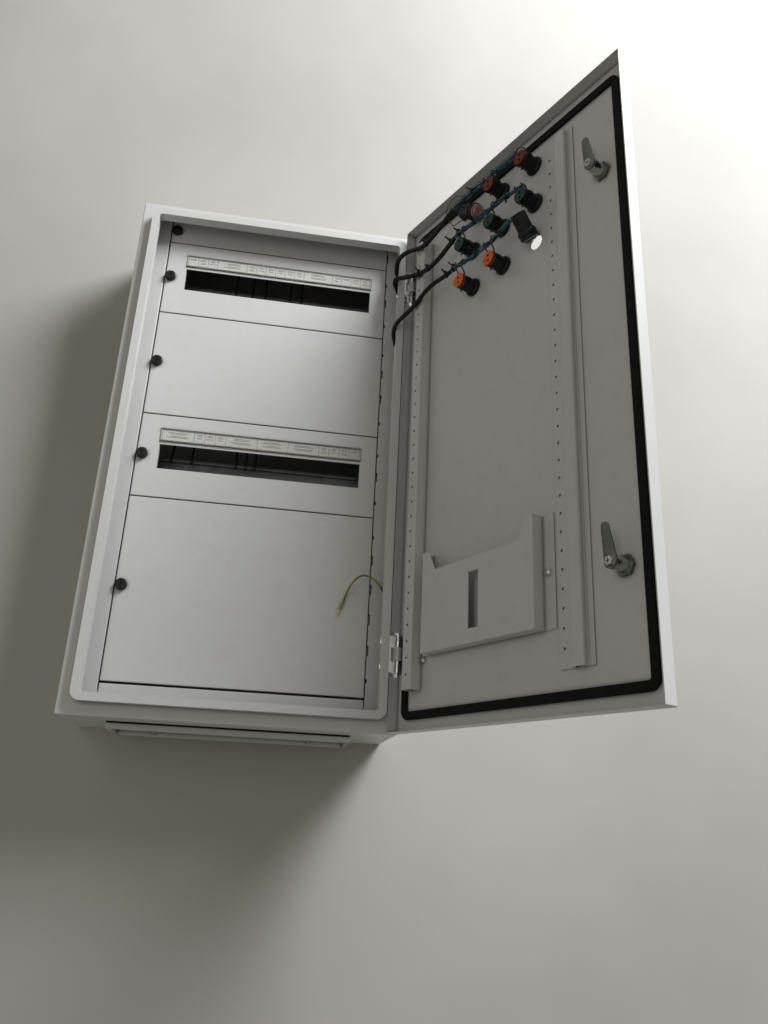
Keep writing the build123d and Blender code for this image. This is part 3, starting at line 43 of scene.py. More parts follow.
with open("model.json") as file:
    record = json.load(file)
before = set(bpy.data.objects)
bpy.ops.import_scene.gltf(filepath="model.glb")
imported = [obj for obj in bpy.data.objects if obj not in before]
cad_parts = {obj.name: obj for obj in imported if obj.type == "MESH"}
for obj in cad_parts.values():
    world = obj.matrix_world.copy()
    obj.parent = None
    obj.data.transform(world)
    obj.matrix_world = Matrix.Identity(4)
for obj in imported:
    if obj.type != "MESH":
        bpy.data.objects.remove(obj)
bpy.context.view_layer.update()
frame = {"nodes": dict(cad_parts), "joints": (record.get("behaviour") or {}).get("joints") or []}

# Sizes in metres, measured from the cabinet's left edge, bottom edge and front flange
WIDTH = 0.500
HEIGHT = 0.910
BODY_DEPTH = 0.177
REST_OPEN = math.radians(116)
HINGE = next(j for j in frame["joints"] if j["name"] == "door_hinge")["pos_m"]

# Camera as fitted to the photograph
CAMERA_PLACE = (0.0376, -1.4543, -0.5813)
CAMERA_RIGHT = (0.98722, -0.15299, 0.04459)
CAMERA_UP = (-0.09500, -0.34040, 0.93547)
CAMERA_BACK = (-0.12794, -0.92775, -0.35059)
LENS_MM = 29.26
SENSOR_MM = 36.0


def bench(x, y, z):
    """A point measured on the cabinet, in the frame."""
    return Vector((x - WIDTH / 2, -(BODY_DEPTH + z), y - HEIGHT / 2))


def on_door(u, up, out):
    """A point measured on the shut door from its hinge edge, at the angle where the door rests."""
    hinge_x, hinge_z = HINGE[0] + WIDTH / 2, -HINGE[1] - BODY_DEPTH
    across, ahead = WIDTH - u - hinge_x, out - hinge_z
    x = hinge_x + across * math.cos(REST_OPEN) + ahead * math.sin(REST_OPEN)
    z = hinge_z - across * math.sin(REST_OPEN) + ahead * math.cos(REST_OPEN)
    return bench(x, up, z)


def door_way(right, up, out):
    """A direction on the shut door, at the angle where the door rests."""
    return (on_door(-right, up, out) - on_door(0, 0, 0)).normalized()


def colour(red, green, blue):
    """A colour given by display values from 0 to 255."""
    def linear(value):
        value /= 255
        return value / 12.92 if value <= 0.04045 else ((value + 0.055) / 1.055) ** 2.4

    return (linear(red), linear(green), linear(blue), 1.0)


# Places of the two colours and the result among a colour mix node's sockets
MIX_FIRST = 6
MIX_SECOND = 7
MIX_RESULT = 2


class Finish:
    """A procedural material that is put together from a few kinds of detail."""

    def __init__(self, name, base, roughness, metallic=0.0, **inputs):
        self.material = bpy.data.materials.new(name)
        self.material.use_nodes = True
        self.nodes = self.material.node_tree.nodes
        self.links = self.material.node_tree.links
        self.shader = self.nodes["Principled BSDF"]
        self.shader.inputs["Base Color"].default_value = base
        self.shader.inputs["Roughness"].default_value = roughness
        self.shader.inputs["Metallic"].default_value = metallic
        for key, value in inputs.items():
            self.shader.inputs[key.replace("_", " ")].default_value = value
        self.place = self.nodes.new("ShaderNodeTexCoord").outputs["Object"]
        self.normal = None

    def node(self, kind, **settings):
        """A new node of a kind, with its settings."""
        made = self.nodes.new("ShaderNode" + kind)
        for key, value in settings.items():
            setattr(made, key, value)
        return made

    def stretched(self, scale):
        """The object's coordinates, scaled by axis."""
        mapping = self.node("Mapping")
        mapping.inputs["Scale"].default_value = scale
        self.links.new(self.place, mapping.inputs["Vector"])
        return mapping.outputs["Vector"]

    def noise(self, scale, detail=3.0, roughness=0.55, stretch=None):
        """Noise of a given fineness, from 0 to 1."""
        made = self.node("TexNoise")
        made.inputs["Scale"].default_value = scale
        made.inputs["Detail"].default_value = detail
        made.inputs["Roughness"].default_value = roughness
        source = self.place if stretch is None else self.stretched(stretch)
        self.links.new(source, made.inputs["Vector"])
        return made.outputs["Fac"]

    def ramp(self, source, stops):
        """Values or colours that follow a source between stops."""
        made = self.node("ValToRGB")
        ramp = made.color_ramp
        while len(ramp.elements) < len(stops):
            ramp.elements.new(0.5)
        for element, (place, value) in zip(ramp.elements, stops):
            element.position = place
            element.color = value if hasattr(value, "__len__") else (value, value, value, 1)
        self.links.new(source, made.inputs["Fac"])
        return made.outputs["Color"]

    def mottled(self, scale, detail, low, high, roughness=0.55, span=(0.3, 0.7)):
        """Noise that runs from one value or colour to another over a span of its range."""
        return self.ramp(self.noise(scale, detail, roughness), [(span[0], low), (span[1], high)])

    def bump(self, height, strength, distance):
        """Relief from a height, on top of any relief so far."""
        made = self.node("Bump")
        made.inputs["Strength"].default_value = strength
        made.inputs["Distance"].default_value = distance
        self.links.new(height, made.inputs["Height"])
        if self.normal is not None:
            self.links.new(self.normal, made.inputs["Normal"])
        self.normal = made.outputs["Normal"]
        self.links.new(self.normal, self.shader.inputs["Normal"])
        return self

    def mix(self, factor, first, second, blend="MIX"):
        """Two colours mixed by a factor; each of the three is a constant or a socket."""
        made = self.node("Mix", data_type="RGBA", blend_type=blend)
        sockets = (made.inputs["Factor"], made.inputs[MIX_FIRST], made.inputs[MIX_SECOND])
        for socket, value in zip(sockets, (factor, first, second)):
            if isinstance(value, bpy.types.NodeSocket):
                self.links.new(value, socket)
            else:
                socket.default_value = value
        return made.outputs[MIX_RESULT]

    def painted_crease_shade(self, source, distance, darkest):
        """The same colour with painted shade: darker in joints and corners, by how enclosed each point is."""
        hollow = self.node("AmbientOcclusion", samples=6)
        hollow.inputs["Distance"].default_value = distance
        depth = self.ramp(hollow.outputs["AO"], [(0.30, darkest), (0.90, 1.0)])
        return self.mix(1.0, source, depth, "MULTIPLY")

    def within(self, source, low, high, factor):
        """The same colour, times a factor inside a box that is given by two corners."""
        parts = self.node("SeparateXYZ")
        self.links.new(self.place, parts.inputs["Vector"])
        inside = None
        for axis in range(3):
            middle, half = (low[axis] + high[axis]) / 2, (high[axis] - low[axis]) / 2
            offset = self.node("Math", operation="SUBTRACT")
            self.links.new(parts.outputs[axis], offset.inputs[0])
            offset.inputs[1].default_value = middle
            near = self.node("Math", operation="ABSOLUTE")
            self.links.new(offset.outputs[0], near.inputs[0])
            test = self.node("Math", operation="LESS_THAN")
            self.links.new(near.outputs[0], test.inputs[0])
            test.inputs[1].default_value = half
            if inside is None:
                inside = test.outputs[0]
                continue
            both = self.node("Math", operation="MULTIPLY")
            self.links.new(inside, both.inputs[0])
            self.links.new(test.outputs[0], both.inputs[1])
            inside = both.outputs[0]
        darker = self.mix(1.0, source, (factor, factor, factor, 1), "MULTIPLY")
        return self.mix(inside, source, darker)

    def near(self, source, centre, radius, tint):
        """The same colour, but another tint within a radius of a point."""
        gap = self.node("VectorMath", operation="DISTANCE")
        self.links.new(self.place, gap.inputs[0])
        gap.inputs[1].default_value = centre
        test = self.node("Math", operation="LESS_THAN")
        self.links.new(gap.outputs["Value"], test.inputs[0])
        test.inputs[1].default_value = radius
        return self.mix(test.outputs[0], source, tint)

    def facing(self, source, way, factor):
        """The same colour, times a factor on all but the faces that look one way: painted shade on the other
        faces.
        """
        coordinates = self.node("TexCoord")
        turned = self.node("VectorMath", operation="DOT_PRODUCT")
        self.links.new(coordinates.outputs["Normal"], turned.inputs[0])
        turned.inputs[1].default_value = way
        share = self.ramp(turned.outputs["Value"], [(0.60, factor), (0.85, 1.0)])
        return self.mix(1.0, source, share, "MULTIPLY")

    def paint(self, source):
        """Use a source as the colour."""
        self.links.new(source, self.shader.inputs["Base Color"])
        return self

    def gloss(self, source):
        """Use a source as the roughness."""
        self.links.new(source, self.shader.inputs["Roughness"])
        return self


def shade(base, factor):
    """A colour made darker or lighter."""
    return (base[0] * factor, base[1] * factor, base[2] * factor, 1.0)


# The space just behind the covers, which little light reaches; surfaces there get painted shade, their colour
# times a share. Its other sides lie within the cabinet's sheet.
INSIDE_EDGE = 0.0011
INSIDE_FRONT = -0.0318
INSIDE_BACK = -0.1764
INSIDE_LOW = bench(INSIDE_EDGE, INSIDE_EDGE, INSIDE_FRONT)
INSIDE_HIGH = bench(WIDTH - INSIDE_EDGE, HEIGHT - INSIDE_EDGE, INSIDE_BACK)
INSIDE_SHADE_SHARE = 0.42

# The two loose lamps: the middle of each one's terminal block and of its lens
LOOSE_RED_CAP = on_door(0.1641, 0.8515, 0.006)
LOOSE_ORANGE_CAP = on_door(0.3131, 0.7345, -0.0136)
LOOSE_RED_LENS = on_door(0.196, 0.831, 0.006)
LOOSE_ORANGE_LENS = on_door(0.312, 0.706, 0.0115)
LOOSE_CAP_REACH = 0.0165
LOOSE_CAP_COLOUR = colour(24, 25, 27)
LOOSE_RED_LENS_COLOUR = colour(196, 138, 118)
LOOSE_ORANGE_LENS_COLOUR = colour(70, 62, 56)

# Heights between which the lamp rows lie, and the shares of that span where green and red begin
LENS_ROWS = (0.20, 0.42)
GREEN_ROW_FROM = 0.40
RED_ROW_FROM = 0.72


def powder_coat(name, with_inside_shade):
    """Grey powder coat: dusty in patches, rubbed at its edges and with a fine orange peel; painted shade in
    joints and corners and, when asked, behind the covers.
    """
    base = colour(209, 209, 206)
    coat = Finish(name, base, 0.42)
    broad = coat.mottled(3.0, 4.0, shade(base, 0.965), shade(base, 1.03))
    dust = coat.mottled(38.0, 6.0, 0.0, 0.22, 0.7, (0.52, 0.78))
    dusty = coat.mix(dust, broad, colour(182, 176, 165))
    bevel = coat.node("Bevel", samples=4)
    bevel.inputs["Radius"].default_value = 0.0012
    geometry = coat.node("NewGeometry")
    facing = coat.node("VectorMath", operation="DOT_PRODUCT")
    coat.links.new(bevel.outputs["Normal"], facing.inputs[0])
    coat.links.new(geometry.outputs["Normal"], facing.inputs[1])
    edge = coat.ramp(facing.outputs["Value"], [(0.90, 1.0), (0.985, 0.0)])
    rubbed = coat.mottled(60.0, 4.0, 0.0, 0.55, 0.6, (0.45, 0.70))
    worn = coat.mix(1.0, edge, rubbed, "MULTIPLY")
    shown = coat.mix(worn, dusty, colour(228, 227, 224))
    # Painted shade: the colour darkens in joints and corners.
    shown = coat.painted_crease_shade(shown, 0.007, 0.20)
    # Painted shade over the parts that lie in the space behind the covers.
    if with_inside_shade:
        shown = coat.within(shown, INSIDE_LOW, INSIDE_HIGH, INSIDE_SHADE_SHARE)
    coat.paint(shown).gloss(coat.mottled(9.0, 5.0, 0.36, 0.48, 0.6))
    coat.bump(coat.noise(620.0, 2.0), 0.16, 0.0004)
    coat.bump(coat.noise(16.0, 2.0), 0.05, 0.002)
    return coat.material


def plated(name, base, roughness, dents):
    """Plated metal with softened edges and slight dents that break its reflections."""
    metal = Finish(name, base, roughness, 1.0)
    metal.paint(metal.mottled(45.0, 5.0, shade(base, 0.80), shade(base, 1.18)))
    metal.gloss(metal.mottled(120.0, 4.0, roughness * 0.75, roughness * 1.3, span=(0.3, 0.75)))
    edges = metal.node("Bevel", samples=4)
    edges.inputs["Radius"].default_value = 0.0006
    metal.normal = edges.outputs["Normal"]
    return metal.bump(metal.noise(260.0, 3.0), dents, 0.0006).material


def galvanised():
    """Galvanised sheet with its spangle, and painted shade where it lies in the space behind the covers."""
    base = colour(176, 178, 178)
    sheet = Finish("galvanised_sheet", base, 0.45, 0.9)
    cells = sheet.node("TexVoronoi")
    cells.inputs["Scale"].default_value = 85.0
    sheet.links.new(sheet.place, cells.inputs["Vector"])
    spangle = sheet.ramp(cells.outputs["Color"], [(0.1, shade(base, 0.82)), (0.9, shade(base, 1.12))])
    # Painted shade in the space behind the covers.
    shown = sheet.within(spangle, INSIDE_LOW, INSIDE_HIGH, INSIDE_SHADE_SHARE)
    sheet.paint(shown).gloss(sheet.mottled(70.0, 3.0, 0.36, 0.55))
    return sheet.bump(sheet.noise(300.0), 0.06, 0.0003).material


def copper():
    """Bare copper, drawn along the bar."""
    bar = Finish("copper_bar", colour(196, 128, 92), 0.34, 1.0)
    tone = bar.mottled(30.0, 5.0, colour(168, 104, 72), colour(206, 140, 104))
    bar.paint(tone).gloss(bar.mottled(90.0, 3.0, 0.28, 0.5))
    return bar.bump(bar.noise(260.0, 3.0, 0.5, (1, 1, 14)), 0.08, 0.0003).material


def foam_rubber():
    """Matte black foam with open pores."""
    foam = Finish("foam_rubber", colour(18, 19, 17), 0.85, Specular_IOR_Level=0.15)
    foam.paint(foam.mottled(180.0, 5.0, colour(11, 12, 10), colour(27, 28, 25), span=(0.3, 0.75)))
    return foam.bump(foam.noise(900.0, 4.0), 0.35, 0.0006).material


def moulded(name, base, roughness, variation=0.10, grain=0.10, **inputs):
    """A smooth surface with slight changes of tone and gloss and a fine grain."""
    plastic = Finish(name, base, roughness, **inputs)
    plastic.paint(plastic.mottled(55.0, 4.0, shade(base, 1 - variation), shade(base, 1 + variation)))
    plastic.gloss(plastic.mottled(140.0, 3.0, roughness * 0.85, roughness * 1.2))
    return plastic.bump(plastic.noise(1100.0, 2.0), grain, 0.0002).material


def terminal(name, base, loose_cap=None):
    """A terminal block with its two screws on the face; painted shade darkens it round its side and in its
    joints.
    """
    block = Finish(name, base, 0.50, Specular_IOR_Level=0.18)
    shown = block.mottled(55.0, 4.0, shade(base, 0.90), shade(base, 1.08))
    # Painted shade on the sides; the face that looks out of the door stays bright.
    shown = block.facing(shown, door_way(0, 0, -1), 0.30)
    if loose_cap is not None:
        shown = block.near(shown, loose_cap, LOOSE_CAP_REACH, LOOSE_CAP_COLOUR)
    # Painted shade in the block's joints and corners.
    block.paint(block.painted_crease_shade(shown, 0.003, 0.15))
    return block.bump(block.noise(1100.0, 2.0), 0.10, 0.0002).material


def clear_plastic():
    """The clear label holders."""
    clear = Finish("clear_plastic", colour(232, 232, 228), 0.2, Transmission_Weight=0.94, IOR=1.22)
    clear.gloss(clear.mottled(40.0, 4.0, 0.16, 0.28, span=(0.3, 0.75)))
    return clear.bump(clear.noise(30.0, 2.0), 0.03, 0.001).material


def paper():
    """Plain paper, a little uneven."""
    base = colour(206, 205, 199)
    sheet = Finish("paper", base, 0.85)
    sheet.paint(sheet.mottled(60.0, 5.0, shade(base, 0.95), shade(base, 1.02)))
    return sheet.bump(sheet.noise(800.0, 4.0), 0.12, 0.0002).material


def lens_plastic():
    """The lenses: red, green and orange by the row of lamps, and two other tones on the loose ones."""
    lens = Finish("lens_plastic", colour(200, 60, 45), 0.16, Transmission_Weight=0.35, IOR=1.49)
    parts = lens.node("SeparateXYZ")
    lens.links.new(lens.place, parts.inputs["Vector"])
    row = lens.node("MapRange")
    row.inputs["From Min"].default_value, row.inputs["From Max"].default_value = LENS_ROWS
    lens.links.new(parts.outputs["Z"], row.inputs["Value"])
    tone = lens.node("ValToRGB")
    tone.color_ramp.interpolation = "CONSTANT"
    tone.color_ramp.elements[0].color = colour(214, 118, 42)
    tone.color_ramp.elements[1].position = GREEN_ROW_FROM
    tone.color_ramp.elements[1].color = colour(38, 142, 84)
    tone.color_ramp.elements.new(RED_ROW_FROM).color = colour(196, 52, 44)
    lens.links.new(row.outputs["Result"], tone.inputs["Fac"])
    shown = tone.outputs["Color"]
    shown = lens.near(shown, LOOSE_RED_LENS, LOOSE_CAP_REACH, LOOSE_RED_LENS_COLOUR)
    lens.paint(lens.near(shown, LOOSE_ORANGE_LENS, LOOSE_CAP_REACH, LOOSE_ORANGE_LENS_COLOUR))
    return lens.bump(lens.noise(260.0, 2.0), 0.05, 0.0004).material


FINISHES = {
    "coat": powder_coat("powder_coat", False),
    "cabinet_coat": powder_coat("cabinet_coat", True),
    "zinc": plated("zinc_plate", colour(176, 177, 175), 0.15, 0.22),
    "bright_zinc": plated("bright_zinc", colour(226, 226, 222), 0.13, 0.40),
    "cam_steel": plated("cam_steel", colour(112, 117, 110), 0.32, 0.06),
    "galvanised": galvanised(),
    "copper": copper(),
    "foam": foam_rubber(),
    "black": moulded("black_plastic", colour(20, 20, 21), 0.42, Specular_IOR_Level=0.30),
    "lamp": moulded("lamp_housing", colour(15, 18, 21), 0.46, Specular_IOR_Level=0.22),
    "ring": moulded("pale_ring", colour(222, 220, 214), 0.40),
    "clear": clear_plastic(),
    "paper": paper(),
    "print": moulded("grey_print", colour(92, 92, 92), 0.80),
    "red": terminal("red_terminal", colour(106, 35, 29), LOOSE_RED_CAP),
    "green": terminal("green_terminal", colour(13, 50, 44)),
    "orange": terminal("orange_terminal", colour(226, 106, 46), LOOSE_ORANGE_CAP),
    "strand": moulded("copper_strand", colour(222, 200, 182), 0.36, metallic=0.5),
    # Terminal screws: zinc darkened with painted shade of the recess they sit in.
    "recess_shaded_zinc": moulded("recess_shaded_screw", colour(92, 84, 78), 0.40, metallic=0.8),
    "lens": lens_plastic(),
    "loom": moulded("loom_sleeve", colour(12, 14, 10), 0.50, 0.25, 0.2, Specular_IOR_Level=0.22),
    "blue": moulded("blue_wire", colour(32, 84, 106), 0.30, 0.2),
    "dark_blue": moulded("dark_blue_wire", colour(18, 40, 56), 0.38, 0.2),
    "wire": moulded("black_wire", colour(22, 22, 22), 0.42, 0.2),
    "yellow": moulded("yellow_sheath", colour(160, 153, 78), 0.48),
    "leaf": moulded("green_sheath", colour(84, 98, 44), 0.48),
}

# The frame's pieces by finish
CAD_FINISHES = {
    "cabinet_coat": ["enclosure_body", "left_strip", "right_strip", "bottom_strip"],
    "coat": ["gland_plate", "door_panel", "hinge_side_rail", "lock_side_rail", "document_pocket",
             "hinge_knuckles", *[f"cover_{i}" for i in range(5)]],
    "galvanised": ["left_upright", "right_upright", "upper_din_rail", "lower_din_rail", "rail_brackets"],
    "zinc": ["hinge_brackets", "gland_screws", "lock_housings"],
    "bright_zinc": ["hinge_pins", "hinge_bolts", "pocket_nuts", "lock_spindle_upper", "lock_spindle_lower",
                    "cam_screw_upper", "cam_screw_lower"],
    "cam_steel": ["cam_upper", "cam_lower", "lock_nuts"],
    "copper": ["earth_bar"],
    "foam": ["gland_gasket", "door_gasket"],
    "black": [f"knob_{i}" for i in range(5)],
    "lamp": ["pilot_bodies", "pilot_nuts", "loose_pilot_upper", "loose_pilot_lower"],
    "clear": ["label_holder_upper", "label_holder_lower"],
    "paper": ["label_strip_upper", "label_strip_lower"],
    "red": ["terminals_red"],
    "green": ["terminals_green"],
    "orange": ["terminals_orange"],
    "lens": ["pilot_lenses"],
}
for finish, names in CAD_FINISHES.items():
    for name in names:
        for material_slot in frame["nodes"][name].material_slots:
            material_slot.material = FINISHES[finish]


def add_mesh(name, vertices, faces, finish, smooth=True):
    """A piece made from points and faces."""
    mesh = bpy.data.meshes.new(name)
    mesh.from_pydata([tuple(v) for v in vertices], [], faces)
    mesh.materials.append(FINISHES[finish])
    mesh.polygons.foreach_set("use_smooth", [smooth] * len(mesh.polygons))
    mesh.update()
    piece = bpy.data.objects.new(name, mesh)
    bpy.context.scene.collection.objects.link(piece)
    return piece


# Cords: the routes of the frame's cables, with the same points
LOOM_ROUTES = {
    "loom_upper": [
        bench(0.480, 0.777, -0.060), bench(0.480, 0.794, -0.043), bench(0.4785, 0.8085, -0.025),
        bench(0.470, 0.8195, -0.005), bench(0.4625, 0.832, 0.013), bench(0.466, 0.843, 0.027),
        bench(0.478, 0.851, 0.037), on_door(0.044, 0.845, -0.0045), on_door(0.060, 0.839, -0.005),
        on_door(0.081, 0.840, -0.005), on_door(0.107, 0.848, -0.0045), on_door(0.129, 0.857, -0.005),
        on_door(0.147, 0.862, -0.006),
    ],
    "loom_middle": [
        bench(0.480, 0.763, -0.060), bench(0.480, 0.7795, -0.044), bench(0.479, 0.791, -0.027),
        bench(0.471, 0.798, -0.009), bench(0.4615, 0.801, 0.008), bench(0.462, 0.7985, 0.025),
        bench(0.475, 0.7945, 0.037), on_door(0.044, 0.789, -0.0045), on_door(0.066, 0.7825, -0.005),
        on_door(0.092, 0.781, -0.005), on_door(0.116, 0.786, -0.005), on_door(0.136, 0.795, -0.0047),
        on_door(0.150, 0.802, -0.004),
    ],
    "loom_lower": [
        bench(0.480, 0.634, -0.060), bench(0.480, 0.651, -0.044), bench(0.479, 0.666, -0.028),
        bench(0.472, 0.680, -0.009), bench(0.463, 0.693, 0.009), bench(0.465, 0.704, 0.025),
        bench(0.477, 0.714, 0.037), on_door(0.043, 0.726, -0.004), on_door(0.058, 0.732, -0.005),
        on_door(0.077, 0.739, -0.005), on_door(0.099, 0.741, -0.005), on_door(0.119, 0.740, -0.0035),
        on_door(0.136, 0.743, -0.001),
    ],
}
LOOM_SIZES = {"loom_upper": 0.008, "loom_middle": 0.008, "loom_lower": 0.0075}

EARTH_WIRE_ROUTE = [
    bench(0.481, 0.172, -0.058), bench(0.4805, 0.187, -0.044), bench(0.479, 0.202, -0.030),
    bench(0.474, 0.219, -0.018), bench(0.464, 0.235, -0.011), bench(0.451, 0.244, -0.0085),
    bench(0.438, 0.2485, -0.009), bench(0.4275, 0.245, -0.012), bench(0.419, 0.2345, -0.0165),
    bench(0.412, 0.219, -0.0215), bench(0.4068, 0.2017, -0.026), bench(0.4002, 0.1833, -0.0279),
]


def smooth_line(points, steps=10):
    """Points along the smooth curve that a route's points steer."""
    curve = bpy.data.curves.new("route", "CURVE")
    curve.dimensions = "3D"
    curve.resolution_u = steps
    spline = curve.splines.new("NURBS")
    spline.points.add(len(points) - 1)
    for control, point in zip(spline.points, points):
        control.co = (*point, 1)
    spline.order_u = 3
    spline.use_endpoint_u = True
    holder = bpy.data.objects.new("route", curve)
    mesh = bpy.data.meshes.new_from_object(holder)
    line = [vertex.co.copy() for vertex in mesh.vertices]
    bpy.data.objects.remove(holder)
    bpy.data.curves.remove(curve)
    bpy.data.meshes.remove(mesh)
    return line


def line_length(line):
    """How long a line of points is."""
    return sum((b - a).length for a, b in zip(line, line[1:]))


def distances(line):
    """How far along a line each of its points lies."""
    covered = [0.0]
    for a, b in zip(line, line[1:]):
        covered.append(covered[-1] + (b - a).length)
    return covered


def frames_along(line):
    """A right and an up direction at each point of a line, without twist."""
    tangents = []
    for i in range(len(line)):
        tangents.append((line[min(i + 1, len(line) - 1)] - line[max(i - 1, 0)]).normalized())
    side = tangents[0].orthogonal().normalized()
    frames = [(side, tangents[0].cross(side))]
    for before, after in zip(tangents, tangents[1:]):
        turn = before.rotation_difference(after)
        side = (turn @ frames[-1][0]).normalized()
        frames.append((side, after.cross(side)))
    return frames


def tube(name, line, finish, radius, sides, shape=None):
    """A closed tube along a line; shape gives a share of the radius by angle and distance."""
    vertices = []
    for point, (side, up), along in zip(line, frames_along(line), distances(line)):
        for k in range(sides):
            angle = 2 * math.pi * k / sides
            reach = radius * (shape(angle, along) if shape else 1.0)
            vertices.append(point + side * math.cos(angle) * reach + up * math.sin(angle) * reach)
    faces = []
    for i in range(len(line) - 1):
        here, there = i * sides, (i + 1) * sides
        for k in range(sides):
            following = (k + 1) % sides
            faces.append((here + k, here + following, there + following, there + k))
    faces.append(tuple(reversed(range(sides))))
    faces.append(tuple(range((len(line) - 1) * sides, len(line) * sides)))
    return add_mesh(name, vertices, faces, finish)


# The looms: bundles whose wires show as lobes through a thin sleeve
LOOM_SIDES = 42
LOOM_LOBES = 7
LOOM_LOBE_DEPTH = 0.07
LOOM_LOBE_SHARPNESS = 6
LOOM_TWIST_LENGTH = 0.085


def bundled(angle, along):
    """The outline of a tight bundle of wires inside a thin sleeve."""
    turned = angle + 2 * math.pi * along / LOOM_TWIST_LENGTH
    return 1 - LOOM_LOBE_DEPTH * abs(math.sin(turned * LOOM_LOBES / 2)) ** LOOM_LOBE_SHARPNESS


for name, route in LOOM_ROUTES.items():
    line = smooth_line(route)
    loom = tube(name + "_cable", line, "loom", LOOM_SIZES[name] / 2, LOOM_SIDES, bundled)
    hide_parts(name)
    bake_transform(loom)


def box_faces(start):
    """The six faces of a box whose eight corners follow a given index, low side first."""
    corners = [(0, 3, 2, 1), (4, 5, 6, 7), (0, 1, 5, 4), (1, 2, 6, 5), (2, 3, 7, 6), (3, 0, 4, 7)]
    return [tuple(start + corner for corner in face) for face in corners]


def boxes(name, places, finish):
    """Many small boxes in one piece; each is a centre, three axes and three half sizes."""
    vertices, faces = [], []
    for centre, (across, up, out), (half_across, half_up, half_out) in places:
        faces.extend(box_faces(len(vertices)))
        for level in (-half_out, half_out):
            for x, y in ((-1, -1), (1, -1), (1, 1), (-1, 1)):
                vertices.append(centre + across * x * half_across + up * y * half_up + out * level)
    return add_mesh(name, vertices, faces, finish, smooth=False)


def joined(name, pieces):
    """Several pieces made into one, with their materials kept."""
    with bpy.context.temp_override(active_object=pieces[0], selected_editable_objects=pieces):
        bpy.ops.object.join()
    pieces[0].name = name
    return pieces[0]


def soften(piece, width):
    """Round the edges of a piece."""
    mesh = bmesh.new()
    mesh.from_mesh(piece.data)
    bmesh.ops.bevel(mesh, geom=mesh.edges[:], offset=width, segments=2, affect="EDGES", profile=0.5)
    mesh.to_mesh(piece.data)
    mesh.free()
    return piece


# The earth wire: a sheath in two colours and a bare end that lies against the lowest cover
EARTH_WIRE_DIAMETER = 0.0035
EARTH_STEPS = 14
EARTH_SIDES = 20
EARTH_STRIPE_SHARE = 0.42
EARTH_STRIPE_LENGTH = 0.090
EARTH_BARE_END = 0.008
EARTH_STRANDS = 7
STRAND_RADIUS = EARTH_WIRE_DIAMETER / 7
STRAND_REACH = EARTH_WIRE_DIAMETER / 4
STRAND_TWIST = 1.6
STRAND_SIDES = 8


def earth_wire():
    """The sheath with its stripes, and the strands that come out of it."""
    line = smooth_line(EARTH_WIRE_ROUTE, EARTH_STEPS)
    total = line_length(line)
    ends = distances(line)[1:]
    cut = next(i for i, end in enumerate(ends) if end > total - EARTH_BARE_END)
    sheath = tube("earth_sheath", line[:cut + 1], "leaf", EARTH_WIRE_DIAMETER / 2, EARTH_SIDES)
    sheath.data.materials.append(FINISHES["yellow"])
    for i, end in enumerate(ends[:cut]):
        for k in range(EARTH_SIDES):
            share = (k / EARTH_SIDES + end / EARTH_STRIPE_LENGTH) % 0.5
            if share < EARTH_STRIPE_SHARE / 2:
                sheath.data.polygons[i * EARTH_SIDES + k].material_index = 1
    strands = []
    bare = line[cut - 1:]
    for k in range(EARTH_STRANDS):
        angle = 2 * math.pi * k / (EARTH_STRANDS - 1)
        reach = 0.0 if k == EARTH_STRANDS - 1 else STRAND_REACH
        shifted = []
        for i, (point, (side, up)) in enumerate(zip(bare, frames_along(bare))):
            turn = angle + STRAND_TWIST * i / len(bare)
            shifted.append(point + (side * math.cos(turn) + up * math.sin(turn)) * reach)
        strands.append(tube(f"strand_{k}", shifted, "strand", STRAND_RADIUS, STRAND_SIDES))
    wire = joined("earth_wire_cable", [sheath, *strands])
    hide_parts("earth_wire")
    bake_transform(wire)


earth_wire()

# Wires along the lamp rows: (from hinge edge, up, out) on the shut door, and the lamps they serve
LAMP_WIRE_ROUTES = [
    [(0.149, 0.8625, -0.0062), (0.165, 0.861, -0.0075), (0.190, 0.863, -0.008), (0.216, 0.861, -0.008),
     (0.244, 0.8635, -0.008), (0.272, 0.861, -0.008), (0.290, 0.863, -0.008), (0.305, 0.862, -0.007)],
    [(0.153, 0.803, -0.0042), (0.165, 0.802, -0.0065), (0.190, 0.797, -0.008), (0.217, 0.799, -0.008),
     (0.245, 0.797, -0.008), (0.273, 0.798, -0.008), (0.300, 0.7925, -0.0085), (0.319, 0.790, -0.008)],
    [(0.140, 0.7434, -0.0014), (0.154, 0.739, -0.006), (0.173, 0.734, -0.008), (0.196, 0.7315, -0.008),
     (0.222, 0.733, -0.008), (0.247, 0.732, -0.008), (0.271, 0.736, -0.0085), (0.291, 0.744, -0.009)],
]
LAMP_COLUMNS = (0.171, 0.243, 0.315)
LAMP_ROWS = (0.846, 0.774, 0.702)
WIRED_LAMPS = ((1, 2), (0, 1, 2), (0, 1))
LAMP_RADIUS = 0.012
CLAMP_OUT = -0.002
WIRE_RADIUS = 0.0012
WIRE_SIDES = 10

# A bundle's wires: how each one's start, twist and distance from the middle vary
BUNDLE_WIRES = 7
BUNDLE_REACH = 0.0028
BUNDLE_MEAN = 0.92
BUNDLE_WANDER = 0.22
BUNDLE_PHASE = 0.3
BUNDLE_TWISTS = (0.10, 0.17)
BUNDLE_SWAYS = (0.030, 0.055)
DARK_WIRE_EVERY = 3

# A drop wire starts beside its lamp, arches over and comes down to a clamp on the lamp's upper side
DROP_START = 0.015
DROP_RISES = (0.002, 0.006)
DROP_STEPS = 8
CLAMP_ASIDE = 0.0045
# Points of the arch: share of the way across, share of the rise, and how far it stands out
DROP_ARCH = ((0.30, 1.0, 0.003), (0.65, 0.6, 0.0055))
# Halfway down and at the neck above the clamp: how far aside of the clamp and how far out
HALFWAY_ASIDE = 0.003
HALFWAY_OUT = 0.0035
NECK_ASIDE = 0.0015
NECK_OUT = 0.002
NECK_ABOVE = 0.004
FOOT_SUNK = 0.001
ROUTE_STEPS = 12


